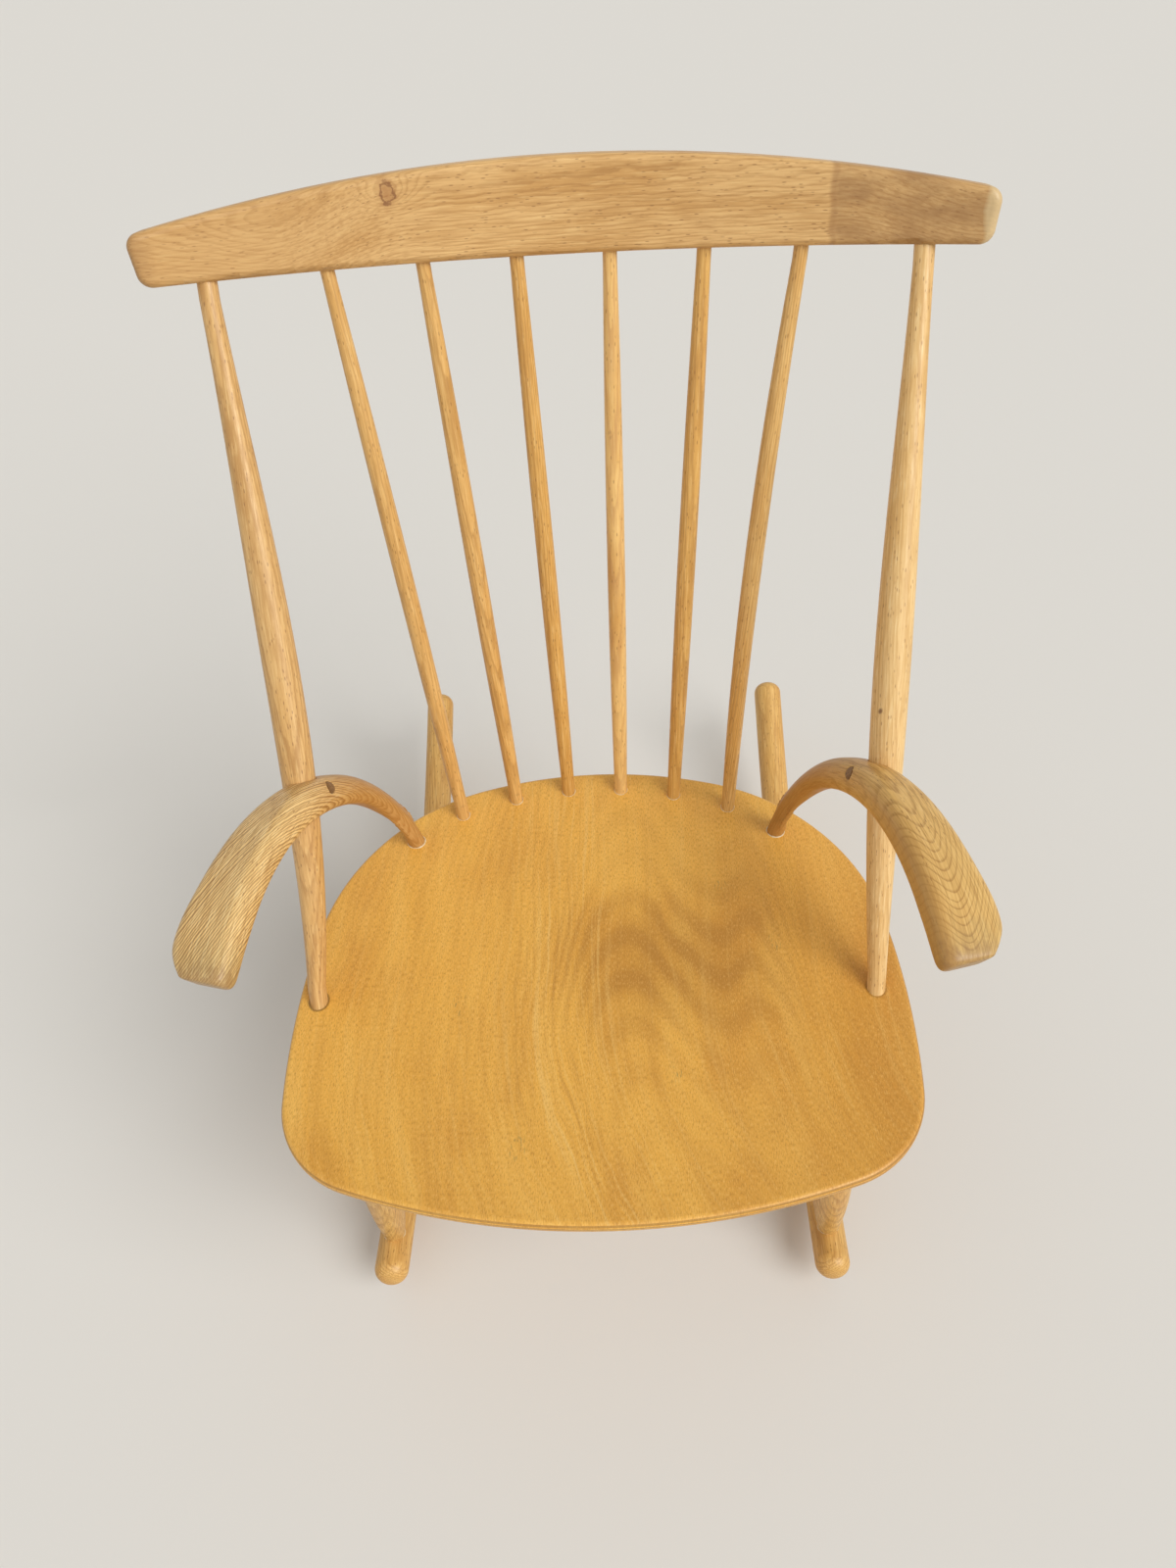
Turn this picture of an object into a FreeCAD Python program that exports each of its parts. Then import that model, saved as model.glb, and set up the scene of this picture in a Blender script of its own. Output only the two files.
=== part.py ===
import FreeCAD, Part
import math
import os
import Sketcher

Vector = FreeCAD.Vector
LEFT = -1
RIGHT = 1

doc = FreeCAD.newDocument("rocking_chair")
sizes = doc.addObject("Spreadsheet::Sheet", "sizes")
derived = doc.addObject("App::VarSet", "derived")
subparts = []

# Driving sizes in millimetres and degrees.
# The origin lies on the floor, midway between the rockers, under their resting line.
# +X is the right side as seen from the front, -Y is the front and +Z is up.
DRIVING = {
    "fit_clearance": 0.1,
    "cut_overrun": 20,
    # seat shell
    "seat_width": 526,
    "seat_depth": 465.5,
    "seat_thickness": 11,
    "seat_front_height": 378,
    "seat_drop": 38,
    "seat_hollow": 12,
    "seat_front_reach": 321.5,
    "seat_offset": 4,
    "seat_widest_setback": 190,
    "seat_front_radius": 600,
    "seat_front_corner_radius": 92,
    "seat_side_radius": 700,
    "seat_rear_corner_radius": 200,
    "seat_rear_radius": 400,
    "seat_edge_radius": 4,
    # crest rail, bent in plan and leaning back
    "crest_width": 615,
    "crest_thickness": 22,
    "crest_middle_height": 66,
    "crest_end_height": 35,
    "crest_end_slope": 4,
    "crest_corner_radius": 10,
    "crest_edge_radius": 5,
    "crest_bend_radius": 850,
    "crest_setback": 579.3,
    "crest_lower_height": 816.3,
    "crest_rake_angle": 17,
    # spindles
    "spindle_foot_pitch": 52,
    "spindle_row_radius": 325,
    "spindle_row_setback": 444,
    "spindle_top_pitch": 70.7,
    "spindle_foot_diameter": 12.5,
    "spindle_belly_diameter": 15.5,
    "spindle_top_diameter": 11,
    "spindle_foot_depth": 7,
    "spindle_top_depth": 14,
    "spindle_end_length": 10,
    "warped_spindle_bow": 4.6,
    # back posts
    "post_foot_inset": 22.5,
    "post_foot_setback": 208,
    "post_top_spacing": 523,
    "post_foot_diameter": 15.5,
    "post_low_diameter": 25,
    "post_belly_diameter": 28.5,
    "post_high_diameter": 23.5,
    "post_top_diameter": 15,
    "post_foot_depth": 6.5,
    "post_top_depth": 10,
    "post_end_length": 14,
    # arms
    "arm_root_spacing": 347.5,
    "arm_root_setback": 386,
    "arm_run": 215.7,
    "arm_rise": 204.4,
    "arm_sweep_angle": 108.5,
    "arm_toe_angle": 9.3,
    "arm_lean_angle": 13.7,
    "arm_root_diameter": 16,
    "arm_root_depth": 7,
    "arm_root_length": 8,
    "arm_elbow_width": 36,
    "arm_elbow_thickness": 31,
    "arm_paddle_width": 52,
    "arm_paddle_thickness": 25,
    "arm_tip_width": 38,
    "arm_tip_thickness": 23,
    "arm_tip_shift": 6,
    "arm_end_radius": 9,
    # arm fixing, a little above the arm's middle line
    "fixing_lift": 6,
    "left_post_distance": 11.4,
    "right_post_distance": 16.5,
    "screw_diameter": 4.5,
    "screw_head_diameter": 8.4,
    "screw_head_length": 3.5,
    "screw_length": 35,
    "plug_diameter": 10,
    "plug_length": 7,
    # bearers under the seat
    "front_bearer_length": 450,
    "rear_bearer_length": 398,
    "bearer_width": 50,
    "bearer_thickness": 28,
    "front_bearer_setback": 125,
    "rear_bearer_setback": 335,
    # legs
    "leg_top_inset": 23,
    "leg_top_diameter": 24,
    "leg_high_diameter": 31,
    "leg_belly_diameter": 37,
    "leg_low_diameter": 32,
    "leg_foot_diameter": 20,
    "leg_top_depth": 20,
    "leg_end_length": 12,
    "leg_tenon_diameter": 12,
    "leg_tenon_depth": 22,
    "front_leg_foot_setback": 108,
    "rear_leg_foot_setback": 420,
    # rockers
    "rocker_spacing": 438,
    "rocker_diameter": 34,
    "rocker_radius": 1190,
    "rocker_front_run": 259,
    "rocker_rear_run": 478,
    "rocker_end_radius": 14,
}

for row, (name, value) in enumerate(DRIVING.items(), start=1):
    sizes.set(f"A{row}", name)
    sizes.set(f"B{row}", str(value))
    sizes.setAlias(f"B{row}", name)


def derive(name, formula, group=derived):
    """Add a size that is worked out from the driving ones."""
    group.addProperty("App::PropertyFloat", name)
    group.setExpression(name, formula)


def bind(obj, path, formula):
    obj.setExpression(path, formula)


def size(name):
    return float(sizes.get(name))


def worked(name):
    return float(getattr(derived, name))


# Sizes worked out from the driving ones.
# The seat's top face is an arc from the front edge to the rear edge, hollow in the middle.
derive("seat_front", "-sizes.seat_front_reach")
derive("seat_chord", "sqrt(sizes.seat_depth^2 + sizes.seat_drop^2)")
derive("seat_arc_radius", "(derived.seat_chord^2 / 4 + sizes.seat_hollow^2) / (2 * sizes.seat_hollow)")
derive("seat_arc_height", "derived.seat_arc_radius - sizes.seat_hollow")
derive(
    "seat_arc_y",
    "derived.seat_front + sizes.seat_depth / 2"
    " + sizes.seat_drop / derived.seat_chord * derived.seat_arc_height",
)
derive(
    "seat_arc_z",
    "sizes.seat_front_height - sizes.seat_drop / 2"
    " + sizes.seat_depth / derived.seat_chord * derived.seat_arc_height",
)
derive("crest_back", "derived.seat_front + sizes.crest_setback")
derive("crest_arch_rise", "sizes.crest_middle_height - sizes.crest_end_height")
derive(
    "crest_arch_radius",
    "((sizes.crest_width / 2)^2 + derived.crest_arch_rise^2) / (2 * derived.crest_arch_rise)",
)
derive("fixing_inner", "-sizes.arm_elbow_width / 2")
derive("screw_head_start", "derived.fixing_inner + sizes.plug_length")
derive("screw_head_stop", "derived.screw_head_start + sizes.screw_head_length")
derive("screw_shank_length", "sizes.screw_length - sizes.screw_head_length")
derive("rocker_centre_z", "sizes.rocker_radius + sizes.rocker_diameter / 2")
derive("rocker_front_angle", "asin(sizes.rocker_front_run / sizes.rocker_radius) / 1deg")
derive("rocker_rear_angle", "asin(sizes.rocker_rear_run / sizes.rocker_radius) / 1deg")
doc.recompute()


def origin_plane(body, role):
    return next(item for item in body.Origin.OriginFeatures if item.Role == role)


def new_body(name):
    return doc.addObject("PartDesign::Body", name)


def new_sketch(body, name, role="XY_Plane"):
    sketch = body.newObject("Sketcher::SketchObject", name)
    sketch.AttachmentSupport = [(origin_plane(body, role), "")]
    sketch.MapMode = "FlatFace"
    return sketch


def constrain(sketch, name, formula, *geometry):
    """Add a named dimension to a sketch and bind it; geometry is (kind, element numbers)."""
    index = sketch.addConstraint(Sketcher.Constraint(*geometry))
    sketch.renameConstraint(index, name)
    bind(sketch, f"Constraints.{name}", formula)


def finish(obj, label):
    obj.Label = label
    subparts.append(obj)
    return obj


def cylinder(name, diameter, length, placement):
    piece = doc.addObject("Part::Cylinder", name)
    bind(piece, "Radius", f"({diameter}) / 2")
    bind(piece, "Height", length)
    bind(piece, "Placement", placement)
    return piece


def joined(name, pieces):
    group = doc.addObject("Part::MultiFuse", name)
    group.Shapes = pieces
    return group


def cut(name, base, tool):
    piece = doc.addObject("Part::Cut", name)
    piece.Base = base
    piece.Tool = tool
    piece.Refine = False
    return piece


def along(carrier, distance):
    """Placement on a carrier's own axis, the given distance up it."""
    return f"{carrier.Name}.Placement * placement(vector(0; 0; {distance}); rotation(0; 0; 0))"


def round_section(body, name, height, diameter, shift="0"):
    """A round section square to the body's axis, moved sideways by shift."""
    sketch = new_sketch(body, name)
    bind(sketch, "AttachmentOffset", f"placement(vector({shift}; 0; {height}); rotation(0; 0; 0))")
    sketch.addGeometry(Part.Circle(Vector(), Vector(0, 0, 1), size("rocker_diameter") / 2))
    sketch.addConstraint(Sketcher.Constraint("Coincident", 0, 3, -1, 1))
    constrain(sketch, "diameter", diameter, "Diameter", 0, size("rocker_diameter"))
    return sketch


def pad(body, name, sketch, length):
    feature = body.newObject("PartDesign::Pad", name)
    feature.Profile = sketch
    bind(feature, "Length", length)
    return feature


def loft(body, name, sections):
    feature = body.newObject("PartDesign::AdditiveLoft", name)
    feature.Profile = sections[0]
    feature.Sections = sections[1:]
    return feature


def bent_strip(body, name, role, centre, inner, outer, before, after, side):
    """A strip between two arcs about one centre, from before it to after it along the first axis."""
    sketch = new_sketch(body, name, role)
    bind(sketch, "AttachmentOffset", f"placement(vector({centre[0]}; {centre[1]}; 0); rotation(0; 0; 0))")
    ends = [-sketch.evalExpression(before), sketch.evalExpression(after)]
    lines = []
    for radius in (inner, outer):
        length = sketch.evalExpression(radius)
        angles = sorted(side * math.acos(end / length) for end in ends)
        circle = Part.Circle(Vector(), Vector(0, 0, 1), length)
        sketch.addGeometry(Part.ArcOfCircle(circle, *angles))
        lines.append([Vector(length * math.cos(a), length * math.sin(a)) for a in angles])
    for first, second in zip(*lines):
        sketch.addGeometry(Part.LineSegment(first, second))
    for arc, (label, radius) in enumerate((("inner", inner), ("outer", outer))):
        sketch.addConstraint(Sketcher.Constraint("Coincident", arc, 3, -1, 1))
        constrain(sketch, label, radius, "Radius", arc, sketch.evalExpression(radius))
    for end in (1, 2):
        line = end + 1
        sketch.addConstraint(Sketcher.Constraint("Coincident", line, 1, 0, end))
        sketch.addConstraint(Sketcher.Constraint("Coincident", line, 2, 1, end))
        sketch.addConstraint(Sketcher.Constraint("Vertical", line))
    low_end, high_end = (1, 2) if side < 0 else (2, 1)
    constrain(sketch, "before", before, "DistanceX", 0, low_end, -1, 1, -ends[0])
    constrain(sketch, "after", after, "DistanceX", -1, 1, 0, high_end, ends[1])
    return sketch


def frame_round(sketch, left, right, low, high):
    """A rectangle round an outline: what lies between the two is cut away."""
    spans = [sketch.evalExpression(span) for span in (left, right, low, high)]
    corners = [
        Vector(-spans[0], -spans[2]),
        Vector(spans[1], -spans[2]),
        Vector(spans[1], spans[3]),
        Vector(-spans[0], spans[3]),
    ]
    first = sketch.GeometryCount
    for index, corner in enumerate(corners):
        sketch.addGeometry(Part.LineSegment(corner, corners[(index + 1) % 4]))
    for index in range(4):
        following = first + (index + 1) % 4
        sketch.addConstraint(Sketcher.Constraint("Coincident", first + index, 2, following, 1))
        direction = "Horizontal" if index % 2 == 0 else "Vertical"
        sketch.addConstraint(Sketcher.Constraint(direction, first + index))
    constrain(sketch, "frame_left", left, "DistanceX", first, 1, -1, 1, spans[0])
    constrain(sketch, "frame_right", right, "DistanceX", -1, 1, first, 2, spans[1])
    constrain(sketch, "frame_low", low, "DistanceY", first, 1, -1, 1, spans[2])
    constrain(sketch, "frame_high", high, "DistanceY", -1, 1, first + 2, 1, spans[3])


def bow_share(share):
    """Share of a rod's bow at a share of its length, which is most a little below halfway."""
    return f"4 * {share} * (1 - {share}) * (1.5 - {share})"


def rod(name, foot, top, foot_depth, top_depth, end_length, ends, stations, bow):
    """A round rod from a foot point to a top point, with a straight round end in each socket.

    ends gives the two end diameters, stations gives (share of the length, diameter) between them,
    and bow moves the stations sideways.
    """
    line = doc.addObject("App::VarSet", f"{name}_line")
    for axis, low, high in zip("xyz", foot, top):
        derive(f"foot_{axis}", low, line)
        derive(f"run_{axis}", f"{high} - ({low})", line)
    run_x, run_y, run_z = (f"{name}_line.run_{axis}" for axis in "xyz")
    derive("length", f"sqrt({run_x}^2 + {run_y}^2 + {run_z}^2)", line)
    derive("lean", f"acos({run_z} / {name}_line.length) / 1deg", line)
    length = f"{name}_line.length"
    body = new_body(name)
    foot_place = "; ".join(f"{name}_line.foot_{axis}" for axis in "xyz")
    turn = f"rotation(vector(-{run_y}; {run_x}; 0); {name}_line.lean)"
    bind(body, "Placement", f"placement(vector({foot_place}); {turn})")
    foot_end = round_section(body, f"{name}_foot_end", f"-({foot_depth})", ends[0])
    pad(body, f"{name}_foot", foot_end, f"{foot_depth} + {end_length}")
    sections = [round_section(body, f"{name}_section_0", end_length, ends[0])]
    for index, (share, diameter) in enumerate(stations, start=1):
        shift = f"({bow}) * {bow_share(share)}"
        sections.append(round_section(body, f"{name}_section_{index}", f"{length} * {share}", diameter, shift))
    top_start = f"{length} - {end_length}"
    sections.append(round_section(body, f"{name}_section_top", top_start, ends[1]))
    loft(body, f"{name}_shank", sections)
    top_end = round_section(body, f"{name}_top_end", top_start, ends[1])
    pad(body, f"{name}_top", top_end, f"{top_depth} + {end_length}")
    return body


def sockets(name, body, ends, foot_depth, top_depth):
    """Cutters for the two holes that a rod stands in."""
    gap = "2 * sizes.fit_clearance"
    length = f"{body.Name}_line.length"
    foot = cylinder(
        f"{name}_foot_socket",
        f"{ends[0]} + {gap}",
        f"{foot_depth} + sizes.cut_overrun",
        along(body, f"-({foot_depth})"),
    )
    top = cylinder(
        f"{name}_top_socket",
        f"{ends[1]} + {gap}",
        f"{top_depth} + sizes.cut_overrun",
        along(body, f"{length} - sizes.cut_overrun"),
    )
    return foot, top


def seat_top(y):
    return f"derived.seat_arc_z - sqrt(derived.seat_arc_radius^2 - ({y} - derived.seat_arc_y)^2)"


def seat_under(y):
    radius = "(derived.seat_arc_radius + sizes.seat_thickness)"
    return f"derived.seat_arc_z - sqrt({radius}^2 - ({y} - derived.seat_arc_y)^2)"


def tangent_corner(big, big_radius, side, side_radius, radius, front):
    """Centre of the corner arc that lies inside two larger arcs and touches both."""
    reach_big = big_radius - radius
    reach_side = side_radius - radius
    between = side - big
    gap = between.Length
    share = (reach_big**2 - reach_side**2 + gap**2) / (2 * gap)
    offset = math.sqrt(reach_big**2 - share**2)
    unit = between / gap
    across = Vector(-unit.y, unit.x)
    choices = [big + unit * share + across * offset, big + unit * share - across * offset]
    return min(choices, key=lambda point: point.y if front else -point.y)


def seat_outline(sketch):
    """Eight tangent arcs: front, corners, sides and rear, in turn from the front's right end."""
    half = size("seat_width") / 2
    radii = {
        "front": size("seat_front_radius"),
        "front_corner": size("seat_front_corner_radius"),
        "side": size("seat_side_radius"),
        "rear_corner": size("seat_rear_corner_radius"),
        "rear": size("seat_rear_radius"),
    }
    centres = {
        "front": Vector(0, radii["front"]),
        "side": Vector(half - radii["side"], size("seat_widest_setback")),
        "rear": Vector(0, size("seat_depth") - radii["rear"]),
    }
    for corner, big, front in (("front_corner", "front", True), ("rear_corner", "rear", False)):
        centres[corner] = tangent_corner(
            centres[big], radii[big], centres["side"], radii["side"], radii[corner], front
        )

    def touch(big, corner):
        return centres[big] + (centres[corner] - centres[big]).normalize() * radii[big]

    right = [
        touch("front", "front_corner"),
        touch("side", "front_corner"),
        touch("side", "rear_corner"),
        touch("rear", "rear_corner"),
    ]
    left = [Vector(-point.x, point.y) for point in reversed(right)]
    points = right + left
    order = ["front_corner", "side", "rear_corner", "rear", "rear_corner", "side", "front_corner", "front"]
    for index, kind in enumerate(order):
        centre = Vector(centres[kind])
        if 3 < index < 7:
            centre.x = -centre.x
        start = points[index] - centre
        stop = points[(index + 1) % 8] - centre
        circle = Part.Circle(centre, Vector(0, 0, 1), radii[kind])
        angles = (math.atan2(start.y, start.x), math.atan2(stop.y, stop.x))
        sketch.addGeometry(Part.ArcOfCircle(circle, *angles))
    for index in range(8):
        sketch.addConstraint(Sketcher.Constraint("Tangent", index, 2, (index + 1) % 8, 1))
    for index, kind in enumerate(order):
        constrain(sketch, f"{kind}_{index}", f"sizes.seat_{kind}_radius", "Radius", index, radii[kind])
    for index in (3, 7):
        sketch.addConstraint(Sketcher.Constraint("PointOnObject", index, 3, -2))
    constrain(sketch, "front_line", "sizes.seat_front_radius", "DistanceY", -1, 1, 7, 3, radii["front"])
    rear_line = "sizes.seat_depth - sizes.seat_rear_radius"
    constrain(sketch, "rear_line", rear_line, "DistanceY", -1, 1, 3, 3, centres["rear"].y)
    side_line = "sizes.seat_side_radius - sizes.seat_width / 2"
    setback = "sizes.seat_widest_setback"
    constrain(sketch, "right_side", side_line, "DistanceX", 1, 3, -1, 1, -centres["side"].x)
    constrain(sketch, "left_side", side_line, "DistanceX", -1, 1, 5, 3, -centres["side"].x)
    constrain(sketch, "right_setback", setback, "DistanceY", -1, 1, 1, 3, centres["side"].y)
    constrain(sketch, "left_setback", setback, "DistanceY", -1, 1, 5, 3, centres["side"].y)


seat_body = new_body("seat_shell")
shell = bent_strip(
    seat_body,
    "seat_profile",
    "YZ_Plane",
    ("derived.seat_arc_y", "derived.seat_arc_z"),
    "derived.seat_arc_radius",
    "derived.seat_arc_radius + sizes.seat_thickness",
    "derived.seat_arc_y - derived.seat_front + sizes.cut_overrun",
    "derived.seat_front + sizes.seat_depth - derived.seat_arc_y + sizes.cut_overrun",
    -1,
)
shell_pad = pad(seat_body, "seat_slab", shell, "sizes.seat_width + 2 * sizes.cut_overrun")
shell_pad.Midplane = True
outline = new_sketch(seat_body, "seat_outline")
bind(outline, "AttachmentOffset", "placement(vector(sizes.seat_offset; derived.seat_front; 0); rotation(0; 0; 0))")
seat_outline(outline)
frame_round(
    outline,
    "sizes.seat_width / 2 + 2 * sizes.cut_overrun",
    "sizes.seat_width / 2 + 2 * sizes.cut_overrun",
    "2 * sizes.cut_overrun",
    "sizes.seat_depth + 2 * sizes.cut_overrun",
)
doc.recompute()
seat_trim = seat_body.newObject("PartDesign::Pocket", "seat_trim")
seat_trim.Profile = outline
seat_trim.Type = "ThroughAll"
seat_trim.Reversed = True
doc.recompute()


def fillet(body, name, base, edges, radius):
    feature = body.newObject("PartDesign::Fillet", name)
    feature.Base = (base, edges)
    bind(feature, "Radius", radius)
    return feature


def edges_where(shape, test):
    return [f"Edge{index}" for index, edge in enumerate(shape.Edges, start=1) if test(edge)]


def across_shell(edge):
    """True for the seat's upright edges, where two arcs of its outline meet."""
    first, last = (vertex.Point for vertex in edge.Vertexes)
    return math.hypot(last.x - first.x, last.y - first.y) < size("fit_clearance")


rim = edges_where(seat_trim.Shape, lambda edge: not across_shell(edge))
fillet(seat_body, "seat_rim", seat_trim, rim, "sizes.seat_edge_radius")

# Crest rail: a bent strip trimmed to its front outline, in a frame whose origin is the middle of
# its lower edge, with its second axis to the back and its third up the board.
def crest_lower(x):
    """Place of the middle of the crest rail's lower edge, at a distance x from the middle."""
    sag = f"(sizes.crest_bend_radius - sqrt(sizes.crest_bend_radius^2 - ({x})^2))"
    y = f"derived.crest_back - {sag} * cos(sizes.crest_rake_angle)"
    z = f"sizes.crest_lower_height + {sag} * sin(sizes.crest_rake_angle)"
    return x, y, z


crest_body = new_body("crest_board")
bind(
    crest_body,
    "Placement",
    "placement(vector(0; derived.crest_back; sizes.crest_lower_height);"
    " rotation(vector(1; 0; 0); -sizes.crest_rake_angle))",
)
crest_strip = bent_strip(
    crest_body,
    "crest_plan",
    "XY_Plane",
    ("0", "-sizes.crest_bend_radius"),
    "sizes.crest_bend_radius - sizes.crest_thickness / 2",
    "sizes.crest_bend_radius + sizes.crest_thickness / 2",
    "sizes.crest_width / 2 + sizes.cut_overrun",
    "sizes.crest_width / 2 + sizes.cut_overrun",
    1,
)
crest_pad = pad(crest_body, "crest_strip", crest_strip, "2 * (sizes.crest_middle_height + sizes.cut_overrun)")
crest_pad.Midplane = True


def crest_outline(sketch):
    """Straight lower edge, sloping ends and an arched top."""
    half = size("crest_width") / 2
    low = half - size("crest_end_slope")
    end = size("crest_end_height")
    radius = worked("crest_arch_radius")
    middle = size("crest_middle_height") - radius
    spread = math.asin(half / radius)
    sketch.addGeometry(Part.LineSegment(Vector(-low, 0), Vector(low, 0)))
    sketch.addGeometry(Part.LineSegment(Vector(low, 0), Vector(half, end)))
    circle = Part.Circle(Vector(0, middle), Vector(0, 0, 1), radius)
    sketch.addGeometry(Part.ArcOfCircle(circle, math.pi / 2 - spread, math.pi / 2 + spread))
    sketch.addGeometry(Part.LineSegment(Vector(-half, end), Vector(-low, 0)))
    for first, second in ((0, 1), (1, 2), (2, 3), (3, 0)):
        sketch.addConstraint(Sketcher.Constraint("Coincident", first, 2, second, 1))
    sketch.addConstraint(Sketcher.Constraint("Symmetric", 0, 1, 0, 2, -1, 1))
    sketch.addConstraint(Sketcher.Constraint("Horizontal", 0))
    sketch.addConstraint(Sketcher.Constraint("Symmetric", 2, 1, 2, 2, -2))
    lower_width = "sizes.crest_width - 2 * sizes.crest_end_slope"
    constrain(sketch, "lower_width", lower_width, "Distance", 0, 2 * low)
    constrain(sketch, "end_reach", "sizes.crest_width / 2", "DistanceX", -1, 1, 2, 1, half)
    constrain(sketch, "end_height", "sizes.crest_end_height", "DistanceY", -1, 1, 2, 1, end)
    constrain(sketch, "arch", "derived.crest_arch_radius", "Radius", 2, radius)


crest_front = new_sketch(crest_body, "crest_front", "XZ_Plane")
crest_outline(crest_front)
frame_round(
    crest_front,
    "sizes.crest_width / 2 + 2 * sizes.cut_overrun",
    "sizes.crest_width / 2 + 2 * sizes.cut_overrun",
    "sizes.crest_middle_height + 2 * sizes.cut_overrun",
    "sizes.crest_middle_height + 2 * sizes.cut_overrun",
)
doc.recompute()
crest_trim = crest_body.newObject("PartDesign::Pocket", "crest_trim")
crest_trim.Profile = crest_front
crest_trim.Type = "ThroughAll"
crest_trim.Midplane = True
doc.recompute()


def across_board(edge):
    """True for the crest rail's four short edges, which cross its thickness."""
    first, last = (vertex.Point for vertex in edge.Vertexes)
    return math.hypot(last.x - first.x, last.z - first.z) < size("fit_clearance")


corners = edges_where(crest_trim.Shape, across_board)
crest_corners = fillet(crest_body, "crest_corners", crest_trim, corners, "sizes.crest_corner_radius")
doc.recompute()
rim = edges_where(crest_corners.Shape, lambda edge: not across_board(edge))
fillet(crest_body, "crest_rim", crest_corners, rim, "sizes.crest_edge_radius")
doc.recompute()

# Spindles: six turned rods from an arc of holes near the seat's rear edge to the crest rail.
SPINDLE_BELLY_SHARE = 0.35
SPINDLE_COUNT = 6
WARPED_SPINDLE = 6
spindle_ends = ("sizes.spindle_foot_diameter", "sizes.spindle_top_diameter")
seat_holes = []
crest_holes = []
for number in range(1, SPINDLE_COUNT + 1):
    steps = number - (SPINDLE_COUNT + 1) / 2
    foot_x = f"{steps} * sizes.spindle_foot_pitch"
    foot_sag = f"(sizes.spindle_row_radius - sqrt(sizes.spindle_row_radius^2 - ({foot_x})^2))"
    foot_y = f"derived.seat_front + sizes.spindle_row_setback - {foot_sag}"
    spindle = rod(
        f"spindle_{number}",
        (foot_x, foot_y, seat_top(f"({foot_y})")),
        crest_lower(f"{steps} * sizes.spindle_top_pitch"),
        "sizes.spindle_foot_depth",
        "sizes.spindle_top_depth",
        "sizes.spindle_end_length",
        spindle_ends,
        [(SPINDLE_BELLY_SHARE, "sizes.spindle_belly_diameter")],
        "-sizes.warped_spindle_bow" if number == WARPED_SPINDLE else "0",
    )
    foot, top = sockets(
        f"spindle_{number}", spindle, spindle_ends, "sizes.spindle_foot_depth", "sizes.spindle_top_depth"
    )
    seat_holes.append(foot)
    crest_holes.append(top)
    finish(spindle, f"spindle_{number}")

# Back posts: thicker rods from the seat's sides to the crest rail. Each is bowed towards the middle by as
# much as it takes to pass its arm's fixing at the set distance from the arm's middle plane.
POST_STATION_SHARES = {"low": 0.25, "belly": 0.42, "high": 0.71}
ARM_FIXING_SHARES = {"left": 0.46, "right": 0.487}
SIDES = (("left", LEFT), ("right", RIGHT))
post_ends = ("sizes.post_foot_diameter", "sizes.post_top_diameter")
post_foot_y = "(derived.seat_front + sizes.post_foot_setback)"
post_foot = ("(sizes.seat_width / 2 - sizes.post_foot_inset)", post_foot_y, seat_top(post_foot_y))
post_head = crest_lower("sizes.post_top_spacing / 2")
posts = {}


def arm_point(share):
    """Place and heading of the arm's middle line, at a share of its sweep from the root."""
    turn = f"(sizes.arm_sweep_angle * {share})"
    forward = f"sizes.arm_run * (1 - cos({turn}))"
    up = f"sizes.arm_root_length + sizes.arm_rise * sin({turn})"
    heading = f"atan2(sizes.arm_run * sin({turn}); sizes.arm_rise * cos({turn}))"
    return forward, up, heading


def derive_post_bow(side):
    """Work out a post's bow from the place that its arm gives it, outwards from the middle and in height."""
    forward, up, heading = arm_point(ARM_FIXING_SHARES[side])
    root_y = "(derived.seat_front + sizes.arm_root_setback)"
    distance = f"sizes.{side}_post_distance"
    lean = "sizes.arm_lean_angle"
    sideways = f"(({up}) * sin({lean}) + {distance} * cos({lean})) * cos(sizes.arm_toe_angle)"
    out = f"{side}_post_out"
    derive(out, f"sizes.arm_root_spacing / 2 + {forward} * sin(sizes.arm_toe_angle) + {sideways}")
    share = f"{side}_post_share"
    level = f"{seat_top(root_y)} + ({up}) * cos({lean}) - {distance} * sin({lean})"
    derive(share, f"({level} - ({post_foot[2]})) / ({post_head[2]} - ({post_foot[2]}))")
    straight = f"{post_foot[0]} + derived.{share} * ({post_head[0]} - {post_foot[0]})"
    derive(f"{side}_post_bow", f"({straight} - derived.{out}) / ({bow_share(f'derived.{share}')})")


def post_rod(name, side, sign, gap):
    """A back post, or with a gap the space that it needs in an arm."""
    stations = [
        (share, f"sizes.post_{station}_diameter + 2 * {gap}") for station, share in POST_STATION_SHARES.items()
    ]
    return rod(
        name,
        (f"{sign} * {post_foot[0]}", *post_foot[1:]),
        (f"{sign} * {post_head[0]}", *post_head[1:]),
        "sizes.post_foot_depth",
        "sizes.post_top_depth",
        "sizes.post_end_length",
        [f"{diameter} + 2 * {gap}" for diameter in post_ends],
        stations,
        f"-{sign} * derived.{side}_post_bow",
    )


for side, sign in SIDES:
    derive_post_bow(side)
    posts[side] = post_rod(f"{side}_post_blank", side, sign, "0")
    foot, top = sockets(f"{side}_post", posts[side], post_ends, "sizes.post_foot_depth", "sizes.post_top_depth")
    seat_holes.append(foot)
    crest_holes.append(top)

# Arms: each is one flat curve, a little more than a quarter of an ellipse, in a plane that leans and
# toes outwards; its section grows from a round root to a broad flat paddle.
ARM_STATION_SHARES = (0, 0.167, 0.333, 0.5, 0.667, 0.833, 0.94, 1)
ARM_ELBOW_SHARES = (0, 0.18, 0.57, 1, 0.5, 0.12, 0, 0)
ARM_PADDLE_SHARES = (0, 0, 0, 0, 0.5, 0.88, 1, 0)
ARM_TIP_SHARES = (0, 0, 0, 0, 0, 0, 0, 1)
ARM_CORNER_SHARES = (0.47, 0.46, 0.44, 0.42, 0.4, 0.38, 0.37, 0.4)


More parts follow.
